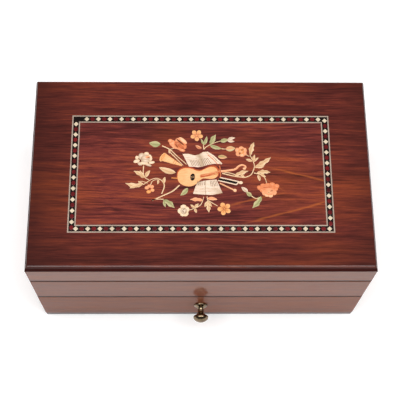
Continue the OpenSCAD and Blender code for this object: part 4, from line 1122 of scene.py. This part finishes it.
def softSlab(name, node, body):  # a velvet-covered card with rolled edges
    low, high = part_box(node)
    edge = card["edge"]
    across, along = (round((high[i] - low[i]) / card["cell"]) for i in (0, 1))
    build = bmesh.new()
    sides = []
    for top in (True, False):
        rows = []
        for i in range(across + 1):
            row = []
            for k in range(along + 1):
                x = low.x + (high.x - low.x) * i / across
                y = low.y + (high.y - low.y) * k / along
                gap = min(x - low.x, high.x - x, y - low.y, high.y - y)
                drop = edge * (1 - math.sqrt(1 - (1 - min(1, gap / edge)) ** 2))
                wave = (0.5 + 0.5 * noise.noise(Vector((x, y, 0)) * card["waves"])) * card["swell"]
                row.append(build.verts.new((x, y, high.z - drop - wave if top else low.z)))
            rows.append(row)
        for a, b in zip(rows, rows[1:]):
            for k in range(along):
                face = (a[k], b[k], b[k + 1], a[k + 1])
                build.faces.new(face if top else face[::-1])
        rim = [(i, 0) for i in range(across)] + [(across, k) for k in range(along)]
        rim += [(i, along) for i in range(across, 0, -1)] + [(0, k) for k in range(along, 0, -1)]
        sides.append([rows[i][k] for i, k in rim])
    upper, lower = sides
    for k, vert in enumerate(upper):
        after = (k + 1) % len(upper)
        build.faces.new((vert, lower[k], lower[after], upper[after]))
    return settle(addMesh(name, build, velvet, 50), body, "wine_velvet", node)


divider = {"thick": 0.003, "gap": 0.0001, "round": 0.0012, "steps": 4}


def addDividers():
    low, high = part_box("tray_dividers")
    thick, soft, steps = divider["thick"], divider["round"], divider["steps"]
    build = bmesh.new()
    roundedBlock(build, (high.x - thick, low.y, low.z), high, soft, steps)
    end = high.x - thick - divider["gap"]
    roundedBlock(build, (low.x, -thick / 2, low.z), (end, thick / 2, high.z), soft, steps)
    settle(addMesh("velvet_dividers", build, velvet, 40), "case", "wine_velvet", "tray_dividers")


lidPad = {"hole": (0.095, 0.05), "rows": 12, "perSide": 40, "edge": 0.0012, "crown": 0.55,
          "pucker": 0.00018, "puckerSize": 120}


def addLidPad():  # the padded frame round the mirror, crowned on the side that faces down
    low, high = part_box("lid_lining")
    hole, rows, perSide = Vector(lidPad["hole"]), lidPad["rows"], lidPad["perSide"]
    outer = Vector((high.x, high.y))
    build = bmesh.new()

    def ring(share, depth):
        half = hole.lerp(outer, share)
        corners = [(-half.x, -half.y), (half.x, -half.y), (half.x, half.y), (-half.x, half.y)]
        made = []
        for a, b in zip(corners, corners[1:] + corners[:1]):
            for k in range(perSide):
                spot = Vector(a).lerp(Vector(b), k / perSide)
                pucker = abs(noise.noise(Vector((spot.x, spot.y, 3)) * lidPad["puckerSize"]))
                drop = max(0, depth - pucker * lidPad["pucker"])
                made.append(build.verts.new((spot.x, spot.y, high.z - drop)))
        return made

    loops = []
    for i in range(rows + 1):
        share = i / rows
        crown = math.sin(math.pi * share) ** lidPad["crown"] if 0 < i < rows else 0
        loops.append(ring(share, lidPad["edge"] + (high.z - low.z - lidPad["edge"]) * crown))
    backs = [ring(1, 0), ring(0, 0)]
    cycle = [*loops, *backs, loops[0]]
    for a, b in zip(cycle, cycle[1:]):
        for k in range(len(a)):
            after = (k + 1) % len(a)
            build.faces.new((a[k], b[k], b[after], a[after]))
    bmesh.ops.recalc_face_normals(build, faces=build.faces[:])
    piece = settle(addMesh("lid_pad", build, velvet, 50), "lid", "wine_velvet", "lid_lining")


foot = {"radius": 0.008, "steps": 40, "worn": ((0.0006, 0), (0.0001, 0.0003), (0, 0.0007)), "cut": 0.0002}


def addFeet():
    low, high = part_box("felt_feet")
    radius, thick = foot["radius"], high.z - low.z
    worn = [(radius - tuck, up) for tuck, up in foot["worn"]]
    profile = [(0, 0), *worn, (radius - foot["cut"], thick), (0, thick)]
    build = bmesh.new()
    for x in (low.x + radius, high.x - radius):
        for y in (low.y + radius, high.y - radius):
            lathe(build, profile, (x, y, low.z), (0, 0, 1), foot["steps"])
    settle(addMesh("feet_felt", build, felt, 40), "case", "black_felt", "felt_feet")


addRolls()
softSlab("tray_velvet", "tray_lining", "case")
softSlab("drawer_velvet", "drawer_lining", "drawer")
addDividers()
addLidPad()
addFeet()
easeEdges(0.0011, "lid_mirror")
print("padding, velvet and felt in place")

# fine pins on the cylinder

pinning = {"seed": 41, "tracks": 34, "pitch": 0.001559, "first": -0.0117, "perTrack": 30, "radius": 0.009,
           "sunk": 0.0003, "tall": 0.00042, "thick": 0.00016, "taper": 0.7}


def addPins():
    low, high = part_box("cylinder_drum")
    centre = (low + high) / 2
    chance = random.Random(pinning["seed"])
    build = bmesh.new()
    for track in range(pinning["tracks"]):
        y = pinning["first"] + track * pinning["pitch"]
        for _ in range(pinning["perTrack"]):
            turn = chance.uniform(0, 2 * math.pi)
            out = Vector((math.cos(turn), 0, math.sin(turn)))
            side = Vector((-math.sin(turn), 0, math.cos(turn)))
            rings = []
            for reach, thick in ((-pinning["sunk"], 1.0), (pinning["tall"], pinning["taper"])):
                middle = Vector((centre.x, y, centre.z)) + out * (pinning["radius"] + reach)
                half = pinning["thick"] * thick
                rings.append([build.verts.new(middle + side * a * half + Vector((0, b * half, 0)))
                              for a, b in ((-1, -1), (1, -1), (1, 1), (-1, 1))])
            base, tip = rings
            build.faces.new(base[::-1])
            build.faces.new(tip)
            for k in range(4):
                build.faces.new((base[k], base[(k + 1) % 4], tip[(k + 1) % 4], tip[k]))
    bmesh.ops.recalc_face_normals(build, faces=build.faces[:])
    settle(addMesh("tune_pins", build, steel), "cylinder", "steel")


addPins()
print("cylinder pinned")
